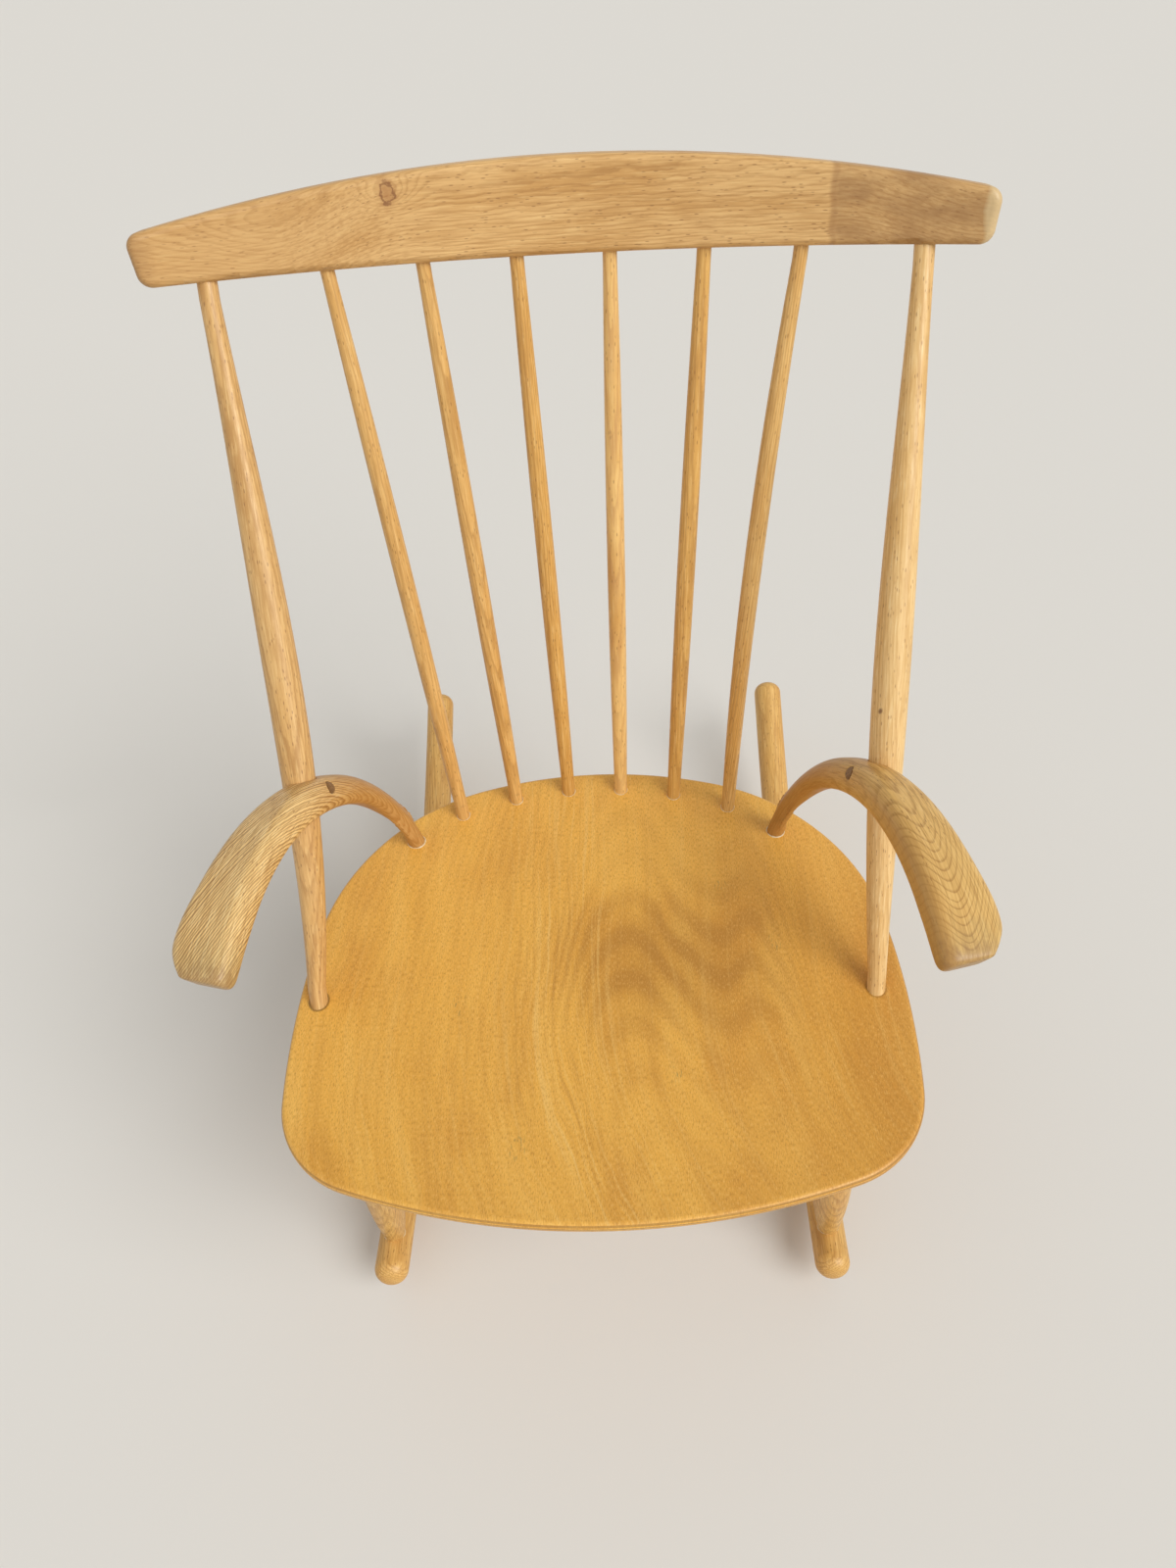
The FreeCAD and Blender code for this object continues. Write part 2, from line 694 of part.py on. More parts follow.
def arm_size(index, kind):
    elbow = ARM_ELBOW_SHARES[index]
    paddle = ARM_PADDLE_SHARES[index]
    tip = ARM_TIP_SHARES[index]
    root = 1 - elbow - paddle - tip
    return (
        f"({root} * sizes.arm_root_diameter + {elbow} * sizes.arm_elbow_{kind}"
        f" + {paddle} * sizes.arm_paddle_{kind} + {tip} * sizes.arm_tip_{kind})"
    )


def rounded_section(sketch, thickness, width, corner):
    """A rectangle with round corners about the sketch's origin."""
    radius = sketch.evalExpression(corner)
    across = sketch.evalExpression(thickness) / 2 - radius
    along_width = sketch.evalExpression(width) / 2 - radius
    quarter = math.pi / 2
    centres = [
        Vector(across, along_width),
        Vector(-across, along_width),
        Vector(-across, -along_width),
        Vector(across, -along_width),
    ]
    for index, centre in enumerate(centres):
        circle = Part.Circle(centre, Vector(0, 0, 1), radius)
        sketch.addGeometry(Part.ArcOfCircle(circle, index * quarter, (index + 1) * quarter))
    for index in range(4):
        stop = sketch.getPoint(index, 2)
        start = sketch.getPoint((index + 1) % 4, 1)
        sketch.addGeometry(Part.LineSegment(stop, start))
    for index in range(4):
        sketch.addConstraint(Sketcher.Constraint("Tangent", index, 2, index + 4, 1))
        sketch.addConstraint(Sketcher.Constraint("Tangent", index + 4, 2, (index + 1) % 4, 1))
        direction = "Horizontal" if index % 2 == 0 else "Vertical"
        sketch.addConstraint(Sketcher.Constraint(direction, index + 4))
    for index in range(1, 4):
        sketch.addConstraint(Sketcher.Constraint("Equal", 0, index))
    sketch.addConstraint(Sketcher.Constraint("Symmetric", 0, 3, 2, 3, -1, 1))
    constrain(sketch, "corner", corner, "Radius", 0, radius)
    constrain(sketch, "flat", f"{thickness} - 2 * {corner}", "DistanceX", 1, 3, 0, 3, 2 * across)
    constrain(sketch, "face", f"{width} - 2 * {corner}", "DistanceY", 3, 3, 0, 3, 2 * along_width)


def arm_blank(name, sign):
    body = new_body(name)
    root_y = "derived.seat_front + sizes.arm_root_setback"
    root = f"vector({sign} * sizes.arm_root_spacing / 2; {root_y}; {seat_top(f'({root_y})')})"
    turn = f"rotation(-90 + {sign} * sizes.arm_toe_angle; 0; -{sign} * sizes.arm_lean_angle)"
    bind(body, "Placement", f"placement({root}; {turn})")
    tenon = round_section(body, f"{name}_tenon_end", "-sizes.arm_root_depth", "sizes.arm_root_diameter")
    pad(body, f"{name}_tenon", tenon, "sizes.arm_root_depth + sizes.arm_root_length")
    sections = []
    for index, corner_share in enumerate(ARM_CORNER_SHARES):
        forward, up, heading = arm_point(ARM_STATION_SHARES[index])
        inward = f"{-sign * ARM_TIP_SHARES[index]} * sizes.arm_tip_shift"
        sketch = new_sketch(body, f"{name}_section_{index}")
        place = f"placement(vector({forward}; {inward}; {up}); rotation(vector(0; 1; 0); {heading}))"
        bind(sketch, "AttachmentOffset", place)
        thickness = arm_size(index, "thickness")
        rounded_section(sketch, thickness, arm_size(index, "width"), f"{corner_share} * {thickness}")
        sections.append(sketch)
    curve = loft(body, f"{name}_curve", sections)
    doc.recompute()
    flat_faces = [face for face in curve.Shape.Faces if face.Surface.TypeId == "Part::GeomPlane"]
    tip = max(flat_faces, key=lambda face: face.CenterOfMass.x)
    rim = edges_where(curve.Shape, lambda edge: any(edge.isSame(other) for other in tip.Edges))
    fillet(body, f"{name}_tip", curve, rim, "sizes.arm_end_radius")
    return body


arms = {}
for side, sign in SIDES:
    arms[side] = arm_blank(f"{side}_arm_blank", sign)


# Arm fixing: a screw through each arm into its post, square to the arm, with its head under a plug.
def fixing_place(side, sign, distance):
    """Placement on a screw's axis, which points outwards from the middle of the arm."""
    forward, up, heading = arm_point(ARM_FIXING_SHARES[side])
    forward += f" - sizes.fixing_lift * cos({heading})"
    up += f" + sizes.fixing_lift * sin({heading})"
    turn = f"rotation(vector(1; 0; 0); {-90 * sign})"
    return (
        f"{arms[side].Name}.Placement * placement(vector({forward}; 0; {up}); {turn})"
        f" * placement(vector(0; 0; {distance}); rotation(0; 0; 0))"
    )


def screw(name, side, sign):
    """A countersunk screw: a cone under a flat head, and a plain shank."""
    head = doc.addObject("Part::Cone", f"{name}_head")
    bind(head, "Radius1", "sizes.screw_head_diameter / 2")
    bind(head, "Radius2", "sizes.screw_diameter / 2")
    bind(head, "Height", "sizes.screw_head_length")
    bind(head, "Placement", fixing_place(side, sign, "derived.screw_head_start"))
    shank = cylinder(
        f"{name}_shank",
        "sizes.screw_diameter",
        "derived.screw_shank_length",
        fixing_place(side, sign, "derived.screw_head_stop"),
    )
    return joined(name, [head, shank])


gap = "2 * sizes.fit_clearance"
for side, sign in SIDES:
    finish(screw(f"{side}_arm_screw", side, sign), f"{side}_arm_screw")
    shank_hole = cylinder(
        f"{side}_screw_hole",
        f"sizes.screw_diameter + {gap}",
        "derived.screw_shank_length",
        fixing_place(side, sign, "derived.screw_head_stop"),
    )
    head_hole = cylinder(
        f"{side}_head_hole",
        f"sizes.screw_head_diameter + {gap}",
        "sizes.screw_head_length",
        fixing_place(side, sign, "derived.screw_head_start"),
    )
    plug_start = "derived.fixing_inner - sizes.cut_overrun"
    plug_hole = cylinder(
        f"{side}_plug_hole",
        f"sizes.plug_diameter + {gap}",
        "sizes.plug_length + sizes.cut_overrun",
        fixing_place(side, sign, plug_start),
    )
    plug_rod = cylinder(
        f"{side}_plug_rod",
        "sizes.plug_diameter",
        "sizes.plug_length + sizes.cut_overrun",
        fixing_place(side, sign, plug_start),
    )
    plug = doc.addObject("Part::Common", f"{side}_arm_plug")
    plug.Base = plug_rod
    plug.Tool = arms[side]
    finish(plug, f"{side}_arm_plug")
    housing = post_rod(f"{side}_post_housing", side, sign, "sizes.fit_clearance")
    notched_arm = cut(f"{side}_arm_notched", arms[side], housing)
    holes = joined(f"{side}_arm_holes", [shank_hole, head_hole, plug_hole])
    finish(cut(f"{side}_arm_cut", notched_arm, holes), f"{side}_arm")
    finish(cut(f"{side}_post_cut", posts[side], shank_hole), f"{side}_back_post")
    seat_holes.append(
        cylinder(
            f"{side}_arm_socket",
            f"sizes.arm_root_diameter + {gap}",
            "sizes.arm_root_depth + sizes.cut_overrun",
            along(arms[side], "-sizes.arm_root_depth"),
        )
    )

finish(cut("seat_cut", seat_body, joined("seat_hole_group", seat_holes)), "seat")
finish(cut("crest_cut", crest_body, joined("crest_hole_group", crest_holes)), "crest_rail")

# Rockers: round bars bent to one arc, lowest at the resting line, with domed ends.
def rocker_axis(y):
    return f"derived.rocker_centre_z - sqrt(sizes.rocker_radius^2 - ({y})^2)"


def rocker_blank(name, sign):
    body = new_body(name)
    place = f"vector({sign} * sizes.rocker_spacing / 2; 0; derived.rocker_centre_z)"
    bind(body, "Placement", f"placement({place}; rotation(vector(1; 0; 0); -derived.rocker_front_angle))")
    sketch = new_sketch(body, f"{name}_section", "XZ_Plane")
    radius = size("rocker_radius")
    diameter = size("rocker_diameter")
    sketch.addGeometry(Part.Circle(Vector(0, -radius), Vector(0, 0, 1), diameter / 2))
    sketch.addConstraint(Sketcher.Constraint("PointOnObject", 0, 3, -2))
    constrain(sketch, "bend", "sizes.rocker_radius", "DistanceY", 0, 3, -1, 1, radius)
    constrain(sketch, "diameter", "sizes.rocker_diameter", "Diameter", 0, diameter)
    bar = body.newObject("PartDesign::Revolution", f"{name}_bar")
    bar.Profile = sketch
    bar.ReferenceAxis = (sketch, ["H_Axis"])
    bind(bar, "Angle", "derived.rocker_front_angle + derived.rocker_rear_angle")
    doc.recompute()
    flat_faces = [face for face in bar.Shape.Faces if face.Surface.TypeId == "Part::GeomPlane"]
    end_edges = [edge for face in flat_faces for edge in face.Edges]
    rim = edges_where(bar.Shape, lambda edge: any(edge.isSame(other) for other in end_edges))
    fillet(body, f"{name}_ends", bar, rim, "sizes.rocker_end_radius")
    return body


# Legs and bearers: the legs stand in the rockers, coped over them, and end in the bearers.
LEG_STATION_SHARES = {"low": 0.24, "belly": 0.45, "high": 0.76}
rockers = {side: rocker_blank(f"{side}_rocker_blank", sign) for side, sign in SIDES}
rocker_holes = {side: [] for side, sign in SIDES}
leg_ends = ("sizes.leg_foot_diameter", "sizes.leg_top_diameter")
seat_underside = cylinder(
    "seat_underside",
    "2 * (derived.seat_arc_radius + sizes.seat_thickness)",
    "sizes.seat_width",
    "placement(vector(-sizes.seat_width / 2; derived.seat_arc_y; derived.seat_arc_z); rotation(0; 90; 0))",
)


def leg(name, side, sign, foot_y, top):
    foot_x = f"{sign} * sizes.rocker_spacing / 2"
    blank = rod(
        f"{name}_blank",
        (foot_x, foot_y, rocker_axis(foot_y)),
        top,
        "0",
        "sizes.leg_top_depth",
        "sizes.leg_end_length",
        leg_ends,
        [(share, f"sizes.leg_{station}_diameter") for station, share in LEG_STATION_SHARES.items()],
        "0",
    )
    saddle = doc.addObject("Part::Torus", f"{name}_saddle")
    bind(saddle, "Radius1", "sizes.rocker_radius")
    bind(saddle, "Radius2", "sizes.rocker_diameter / 2 + sizes.fit_clearance")
    place = f"vector({foot_x}; 0; derived.rocker_centre_z)"
    bind(saddle, "Placement", f"placement({place}; rotation(0; 90; 0))")
    tenon_low = "sizes.rocker_diameter / 2 - sizes.leg_tenon_depth"
    tenon = cylinder(
        f"{name}_tenon",
        "sizes.leg_tenon_diameter",
        "sizes.leg_tenon_depth + sizes.leg_end_length",
        along(blank, tenon_low),
    )
    rocker_holes[side].append(
        cylinder(
            f"{name}_mortise",
            f"sizes.leg_tenon_diameter + {gap}",
            "sizes.leg_tenon_depth + sizes.leg_end_length",
            along(blank, tenon_low),
        )
    )
    socket = cylinder(
        f"{name}_socket",
        f"sizes.leg_top_diameter + {gap}",
        "sizes.leg_top_depth + sizes.cut_overrun",
        along(blank, f"{blank.Name}_line.length - sizes.cut_overrun"),
    )
    finish(joined(f"{name}_whole", [cut(f"{name}_coped", blank, saddle), tenon]), name)
    return socket


for end in ("front", "rear"):
    bearer_y = f"(derived.seat_front + sizes.{end}_bearer_setback)"
    bearer_z = f"({seat_under(bearer_y)} - sizes.bearer_thickness)"
    block = doc.addObject("Part::Box", f"{end}_bearer_block")
    bind(block, "Length", f"sizes.{end}_bearer_length")
    bind(block, "Width", "sizes.bearer_width")
    bind(block, "Height", "sizes.bearer_thickness + sizes.cut_overrun")
    corner = f"vector(-sizes.{end}_bearer_length / 2; {bearer_y} - sizes.bearer_width / 2; {bearer_z})"
    bind(block, "Placement", f"placement({corner}; rotation(0; 0; 0))")
    leg_sockets = []
    for side, sign in SIDES:
        foot_y = f"(derived.seat_front + sizes.{end}_leg_foot_setback)"
        top = (f"{sign} * (sizes.{end}_bearer_length / 2 - sizes.leg_top_inset)", bearer_y, bearer_z)
        leg_sockets.append(leg(f"{end}_{side}_leg", side, sign, foot_y, top))
    shaped = cut(f"{end}_bearer_shaped", block, seat_underside)
    finish(cut(f"{end}_bearer_cut", shaped, joined(f"{end}_leg_sockets", leg_sockets)), f"{end}_bearer")

for side, sign in SIDES:
    mortises = joined(f"{side}_mortises", rocker_holes[side])
    finish(cut(f"{side}_rocker_cut", rockers[side], mortises), f"{side}_rocker")

doc.recompute()
for obj in doc.Objects:
    if {"Invalid", "Error"} & set(obj.State):
        raise SystemExit(f"{obj.Name} could not be built: {obj.State}")
for obj in subparts:
    if obj.Shape.isNull() or not obj.Shape.isValid():
        raise SystemExit(f"{obj.Label} has no valid shape")

os.makedirs("parts", exist_ok=True)
for obj in subparts:
    obj.Shape.exportStep(f"parts/{obj.Label}.step")
    print(f"{obj.Label}: {len(obj.Shape.Solids)} solid, {obj.Shape.Volume / 1000:.1f} cm3")
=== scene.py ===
import math
import random

import bpy
import numpy as np
from mathutils import Matrix, Vector


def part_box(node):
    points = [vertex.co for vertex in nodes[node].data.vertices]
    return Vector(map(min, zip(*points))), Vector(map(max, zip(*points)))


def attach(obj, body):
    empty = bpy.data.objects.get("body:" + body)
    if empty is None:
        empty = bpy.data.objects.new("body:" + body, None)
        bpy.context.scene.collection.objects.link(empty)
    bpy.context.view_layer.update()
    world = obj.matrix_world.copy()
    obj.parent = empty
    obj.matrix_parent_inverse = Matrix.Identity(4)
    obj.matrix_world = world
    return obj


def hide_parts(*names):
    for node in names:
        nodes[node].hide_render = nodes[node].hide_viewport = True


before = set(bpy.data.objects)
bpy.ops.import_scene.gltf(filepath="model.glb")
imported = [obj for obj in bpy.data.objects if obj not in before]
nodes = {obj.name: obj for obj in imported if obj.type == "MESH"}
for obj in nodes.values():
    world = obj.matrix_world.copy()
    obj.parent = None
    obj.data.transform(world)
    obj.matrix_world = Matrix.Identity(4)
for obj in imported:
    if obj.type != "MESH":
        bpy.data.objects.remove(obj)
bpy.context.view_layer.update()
bpy.ops.object.select_all(action="DESELECT")

# Rockers: two round beech bars, steamed and bent to one long arc, so the grain follows the bend.
# Their ends are turned to a dome, and satin lacquer leaves a soft sheen. Sizes are in millimetres.
MM = 0.001
SIDES = (("left", -1), ("right", 1))
ROCKER_RADIUS = 1190
ROCKER_ARC_HEIGHT = 1207
ROCKER_SPACING = 438
ROCKER_PITH = (14, 21)
ROCKER_TONE = {
    "pale": "#dcae62", "late": "#b27f3c", "warm": "#d0994a", "fleck": "#8a5a26", "gleam": "#edc982",
}

# The figure of beech, given twice across the grain and once along it. Fibres and flecks are drawn about
# three times as coarse as real ones, so that they show. LATE_WOOD is where in a ring it is darkest and ends.
SWAY = (55, 55, 210)
RIPPLE = (7, 7, 16)
RIPPLE_DEPTH = 1.2
UNEVEN_RINGS = 0.37
UNEVEN_DEPTH = 1.3
LATE_WOOD = (0.86, 0.88)
PATCH = (34, 34, 170)
FIBRE = (1.2, 1.2, 24)
FLECK = (1.7, 1.7, 7)
RELIEF = 0.15
SHEEN = (0.36, 0.5)
LACQUER_IOR = 1.5
SMOOTH = {"interpolation_type": "SMOOTHSTEP"}
TINT = {"out": 2, "data_type": "RGBA"}


def colour(code):
    """A hex sRGB colour as linear RGBA."""
    channels = [int(code[start : start + 2], 16) / 255 for start in (1, 3, 5)]
    return [c / 12.92 if c <= 0.04045 else ((c + 0.055) / 1.055) ** 2.4 for c in channels] + [1]


def add(tree, kind, inputs=(), out=0, **settings):
    """Add a node with its settings; each input takes a socket to link, or a value or hex colour to hold."""
    node = tree.nodes.new(f"ShaderNode{kind}")
    for name, value in settings.items():
        setattr(node, name, value)
    for name, value in inputs.items() if isinstance(inputs, dict) else enumerate(inputs):
        if isinstance(value, bpy.types.NodeSocket):
            tree.links.new(value, node.inputs[name])
        else:
            node.inputs[name].default_value = colour(value) if isinstance(value, str) else value
    return node.outputs[out]


def new_material(name):
    """An empty material with a Principled shader."""
    material = bpy.data.materials.new(name)
    material.use_nodes = True
    return material, material.node_tree, material.node_tree.nodes["Principled BSDF"]


def in_own_frame(tree, place=(0, 0, 0), turn=(0, 0, 0)):
    """Object coordinates turned to a piece's own frame, in millimetres."""
    where = add(tree, "TexCoord", out="Object")
    inputs = {"Vector": where, "Location": place, "Rotation": turn, "Scale": (MM, MM, MM)}
    return add(tree, "Mapping", inputs, vector_type="TEXTURE")


def stain(tree, body, code, value, start, full, share=1, **easing):
    """Lay a colour over body: none of it where value is start, all its share where value is full."""
    limits = {"Value": value, "From Min": start, "From Max": full, "To Max": share}
    amount = add(tree, "MapRange", limits, **easing)
    return add(tree, "Mix", {0: amount, 6: body, 7: code}, **TINT)


def lacquer(tree, shader, body, texture, relief, strength, **bump):
    """Finish wood with satin lacquer: a soft sheen that its texture breaks up, over a faint relief."""
    sheen = {"Value": texture, "From Min": 0.3, "From Max": 0.7, "To Min": SHEEN[0], "To Max": SHEEN[1]}
    heights = {"Height": relief, "Strength": strength, "Distance": RELIEF * MM}
    shader.inputs["IOR"].default_value = LACQUER_IOR
    tree.links.new(add(tree, "MapRange", sheen), shader.inputs["Roughness"])
    tree.links.new(add(tree, "Bump", heights, **bump), shader.inputs["Normal"])
    tree.links.new(body, shader.inputs["Base Color"])


def lacquered_beech(
    tree, shader, grain, tone, pith, ring=2.2, slope=0.02, wander=5, contrast=0.75, early=0.3, swell=0
):
    """Satin lacquered beech, as turned or planed: growth rings, fine fibres and short ray flecks.

    grain is the place in millimetres with its third axis along the grain, pith is where the rings
    are centred across it, ring is their width and early the share of it that stays pale, slope is how
    fast they taper along the grain, wander how far they stray, contrast how dark their late wood
    shows, and swell pushes them outwards, as round a knot.
    """
    sway = add(tree, "VectorMath", [grain, SWAY], operation="DIVIDE")
    sway = add(tree, "TexNoise", {"Vector": sway, "Scale": 1, "Detail": 2}, out="Color")
    sway = add(tree, "VectorMath", [sway, (0.5, 0.5, 0.5)], operation="SUBTRACT")
    sway = add(tree, "VectorMath", {0: sway, 3: wander}, operation="SCALE")
    wavy = add(tree, "VectorMath", [grain, sway])
    ripple = add(tree, "VectorMath", [grain, RIPPLE], operation="DIVIDE")
    ripple = add(tree, "TexNoise", {"Vector": ripple, "Scale": 1, "Detail": 2}, out="Color")
    ripple = add(tree, "VectorMath", {0: ripple, 3: RIPPLE_DEPTH}, operation="SCALE")
    wavy = add(tree, "VectorMath", [wavy, ripple])
    across = add(tree, "VectorMath", [wavy, (*pith, 0)], operation="SUBTRACT")
    across = add(tree, "VectorMath", [across, (1, 1, 0)], operation="MULTIPLY")
    reach = add(tree, "VectorMath", [across], out="Value", operation="LENGTH")
    reach = add(tree, "Math", [reach, swell])
    along = add(tree, "SeparateXYZ", [grain], out="Z")
    reach = add(tree, "Math", [along, slope, reach], operation="MULTIPLY_ADD")
    years = add(tree, "Math", [reach, ring], operation="DIVIDE")
    uneven = add(tree, "TexNoise", {"W": years, "Scale": UNEVEN_RINGS, "Detail": 1}, noise_dimensions="1D")
    years = add(tree, "Math", [uneven, UNEVEN_DEPTH, years], operation="MULTIPLY_ADD")
    phase = add(tree, "Math", [years], operation="FRACT")
    rise = add(tree, "MapRange", {"Value": phase, "From Min": early, "From Max": LATE_WOOD[0]}, **SMOOTH)
    fall = add(tree, "MapRange", {"Value": phase, "From Min": 1, "From Max": LATE_WOOD[1]}, **SMOOTH)
    late = add(tree, "Math", [rise, fall], operation="MULTIPLY")

    patch = add(tree, "VectorMath", [grain, PATCH], operation="DIVIDE")
    patch = add(tree, "TexNoise", {"Vector": patch, "Scale": 1, "Detail": 3, "Roughness": 0.55})
    levels = {"Value": patch, "From Min": 0.3, "From Max": 0.7, "To Min": 0.45 * contrast, "To Max": contrast}
    late = add(tree, "Math", [late, add(tree, "MapRange", levels)], operation="MULTIPLY")
    body = stain(tree, tone["pale"], tone["warm"], patch, 0.42, 0.72, **SMOOTH)
    body = add(tree, "Mix", {0: late, 6: body, 7: tone["late"]}, **TINT)

    fibre = add(tree, "VectorMath", [grain, FIBRE], operation="DIVIDE")
    streak = add(tree, "TexNoise", {"Vector": fibre, "Scale": 1, "Detail": 3, "Roughness": 0.6})
    body = stain(tree, body, tone["late"], streak, 0.47, 0.72, 0.62)
    body = stain(tree, body, tone["gleam"], streak, 0.46, 0.27, 0.62)
    spots = add(tree, "VectorMath", [grain, FLECK], operation="DIVIDE")
    near = add(tree, "TexVoronoi", {"Vector": spots, "Scale": 1}, out="Distance")
    lot = add(tree, "SeparateXYZ", [near.node.outputs["Color"]], out="X")
    dash = add(tree, "MapRange", {"Value": near, "From Min": 0.32, "From Max": 0.14}, **SMOOTH)
    chosen = add(tree, "MapRange", {"Value": lot, "From Min": 0.5, "From Max": 0.75, "To Max": 0.7})
    fleck = add(tree, "Math", [dash, chosen], operation="MULTIPLY")
    body = add(tree, "Mix", {0: fleck, 6: body, 7: tone["fleck"]}, **TINT)
    relief = add(tree, "Math", [fleck, -1, streak], operation="MULTIPLY_ADD")
    lacquer(tree, shader, body, streak, relief, 0.25)
    return body


def wear(node, material):
    """Give a node of the frame its finish."""
    nodes[node].data.materials.clear()
    nodes[node].data.materials.append(material)


for side, sign in SIDES:
    material, tree, shader = new_material(f"bent beech {side} rocker")
    own = in_own_frame(tree, (sign * ROCKER_SPACING / 2 * MM, 0, ROCKER_ARC_HEIGHT * MM))
    x, y, z = (add(tree, "SeparateXYZ", [own], out=axis) for axis in "XYZ")
    down = add(tree, "Math", [z, -1], operation="MULTIPLY")
    turn = add(tree, "Math", [y, down], operation="ARCTAN2")
    arc = add(tree, "Math", [turn, ROCKER_RADIUS], operation="MULTIPLY")
    flat = add(tree, "VectorMath", [own, (0, 1, 1)], operation="MULTIPLY")
    reach = add(tree, "VectorMath", [flat], out="Value", operation="LENGTH")
    off = add(tree, "Math", [reach, ROCKER_RADIUS], operation="SUBTRACT")
    grain = add(tree, "CombineXYZ", [x, off, arc])
    pith = (sign * ROCKER_PITH[0], ROCKER_PITH[1])
    lacquered_beech(tree, shader, grain, ROCKER_TONE, pith, ring=2.4, slope=0.03)
    wear(f"{side}_rocker", material)

# Legs: four turned beech legs, fat in the middle. The foot is coped to sit over the rocker and
# glued with a tenon, from which some glue was squeezed out; the top is glued into a bearer.
LEG_FOOT_RADIUS = 10
LEG_PITHS = {"front_left": (9, 14), "front_right": (-6, 19), "rear_left": (-15, 8), "rear_right": (12, 16)}
LEG_FIGURE_STEP = 430
LEG_TONE = {
    "pale": "#d9ab60", "late": "#ac7a3a", "warm": "#cb9548", "fleck": "#855624", "gleam": "#ebc57c",
}
LEG_GLUE_FROM = 70
LEG_GLUE_WIDTH = 1.4
GLUE_GAP = 0.2
BEAD_POINTS = 96
BEAD_LEVEL = 0.7
BEAD_WAVES = ((2, 0.25), (5, 0.15), (11, 0.1))
BEAD_UNLAID = 0.001
GLUE_LUMPS_PER_MM = 0.6


def long_axis(node):
    """Middle of a straight piece, the direction of its length, and the turn of its own frame."""
    points = np.array([vertex.co for vertex in nodes[node].data.vertices])
    middle = (points.min(axis=0) + points.max(axis=0)) / 2
    spread = np.linalg.svd(points - points.mean(axis=0), full_matrices=False)[2]
    axis = Vector(spread[0])
    if axis.z < 0:
        axis.negate()
    side = (Vector((1, 0, 0)) - axis * axis.x).normalized()
    turn = Matrix((side, axis.cross(side), axis)).transposed().to_euler()
    return Vector(middle), axis, turn


def foot_of(node):
    """Middle of the lower end of a straight piece, and the direction of its length."""
    axis = long_axis(node)[1]
    points = np.array([vertex.co for vertex in nodes[node].data.vertices])
    height = points @ np.array(axis)
    return Vector(points[height < height.min() + MM].mean(axis=0)), axis


def turned_beech(node, name, tone, step, pith, **rings):
    """Lacquered beech with its grain along a turned piece; step moves the figure along it."""
    material, tree, shader = new_material(name)
    middle, _, turn = long_axis(node)
    own = in_own_frame(tree, middle, turn)
    grain = add(tree, "VectorMath", [own, (0, 0, step)])
    body = lacquered_beech(tree, shader, grain, tone, pith, **rings)
    wear(node, material)
    return tree, shader, body


def glue_bead(name, onto, place, axis, radius, width):
    """A ring of squeezed-out glue round a rod, laid along the rod's axis onto the piece that it enters."""
    bpy.ops.object.select_all(action="DESELECT")
    turn = axis.to_track_quat("Z", "Y").to_euler()
    bpy.ops.mesh.primitive_circle_add(
        vertices=BEAD_POINTS, radius=radius * MM, location=place, rotation=turn
    )
    bead = bpy.context.object
    bead.name = name
    lay = bead.modifiers.new("lay", "SHRINKWRAP")
    lay.target = nodes[onto]
    lay.wrap_method = "PROJECT"
    lay.use_project_z = True
    lay.use_positive_direction = False
    lay.use_negative_direction = True
    bpy.ops.object.modifier_apply(modifier="lay")

    # Where the ring hangs past the edge of the piece there is no glue.
    bpy.ops.object.mode_set(mode="EDIT")
    bpy.ops.mesh.select_all(action="DESELECT")
    bpy.ops.object.mode_set(mode="OBJECT")
    for vertex in bead.data.vertices:
        vertex.select = abs(vertex.co.z) < BEAD_UNLAID * MM
    bpy.ops.object.mode_set(mode="EDIT")
    bpy.ops.mesh.delete(type="VERT")
    bpy.ops.object.mode_set(mode="OBJECT")

    # The bead is thick and thin by turns.
    bpy.ops.object.convert(target="CURVE")
    dice = random.Random(name)
    starts = [dice.uniform(0, 2 * math.pi) for _ in BEAD_WAVES]
    for spline in bead.data.splines:
        for index, point in enumerate(spline.points):
            angle = 2 * math.pi * index / len(spline.points)
            point.radius = BEAD_LEVEL + sum(
                depth * math.sin(turns * angle + start) for (turns, depth), start in zip(BEAD_WAVES, starts)
            )
    bead.data.bevel_depth = width / 2 * MM
    bead.data.bevel_resolution = 2
    bpy.ops.object.convert(target="MESH")
    bpy.ops.object.transform_apply(location=True, rotation=True, scale=True)
    bpy.ops.object.shade_smooth()
    bead.data.materials.append(glue)
    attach(bead, "root")


# White joint glue dries to a milky amber film, a little lumpy and with a soft shine.
glue, tree, shader = new_material("dried joint glue")
lumps = add(tree, "TexNoise", {"Vector": in_own_frame(tree), "Scale": GLUE_LUMPS_PER_MM, "Detail": 2})
tint = add(tree, "Mix", {0: lumps, 6: "#efe4c8", 7: "#cdb483"}, **TINT)
tree.links.new(tint, shader.inputs["Base Color"])
shader.inputs["Roughness"].default_value = 0.4

for number, (leg, pith) in enumerate(LEG_PITHS.items(), start=1):
    name = f"turned beech {leg} leg"
    turned_beech(f"{leg}_leg", name, LEG_TONE, LEG_FIGURE_STEP * number, pith, slope=0.05)
    foot, axis = foot_of(f"{leg}_leg")
    rocker = f"{leg.split('_')[1]}_rocker"
    start = foot + LEG_GLUE_FROM * MM * axis
    glue_bead(f"{leg}_leg_glue", rocker, start, axis, LEG_FOOT_RADIUS + GLUE_GAP, LEG_GLUE_WIDTH)

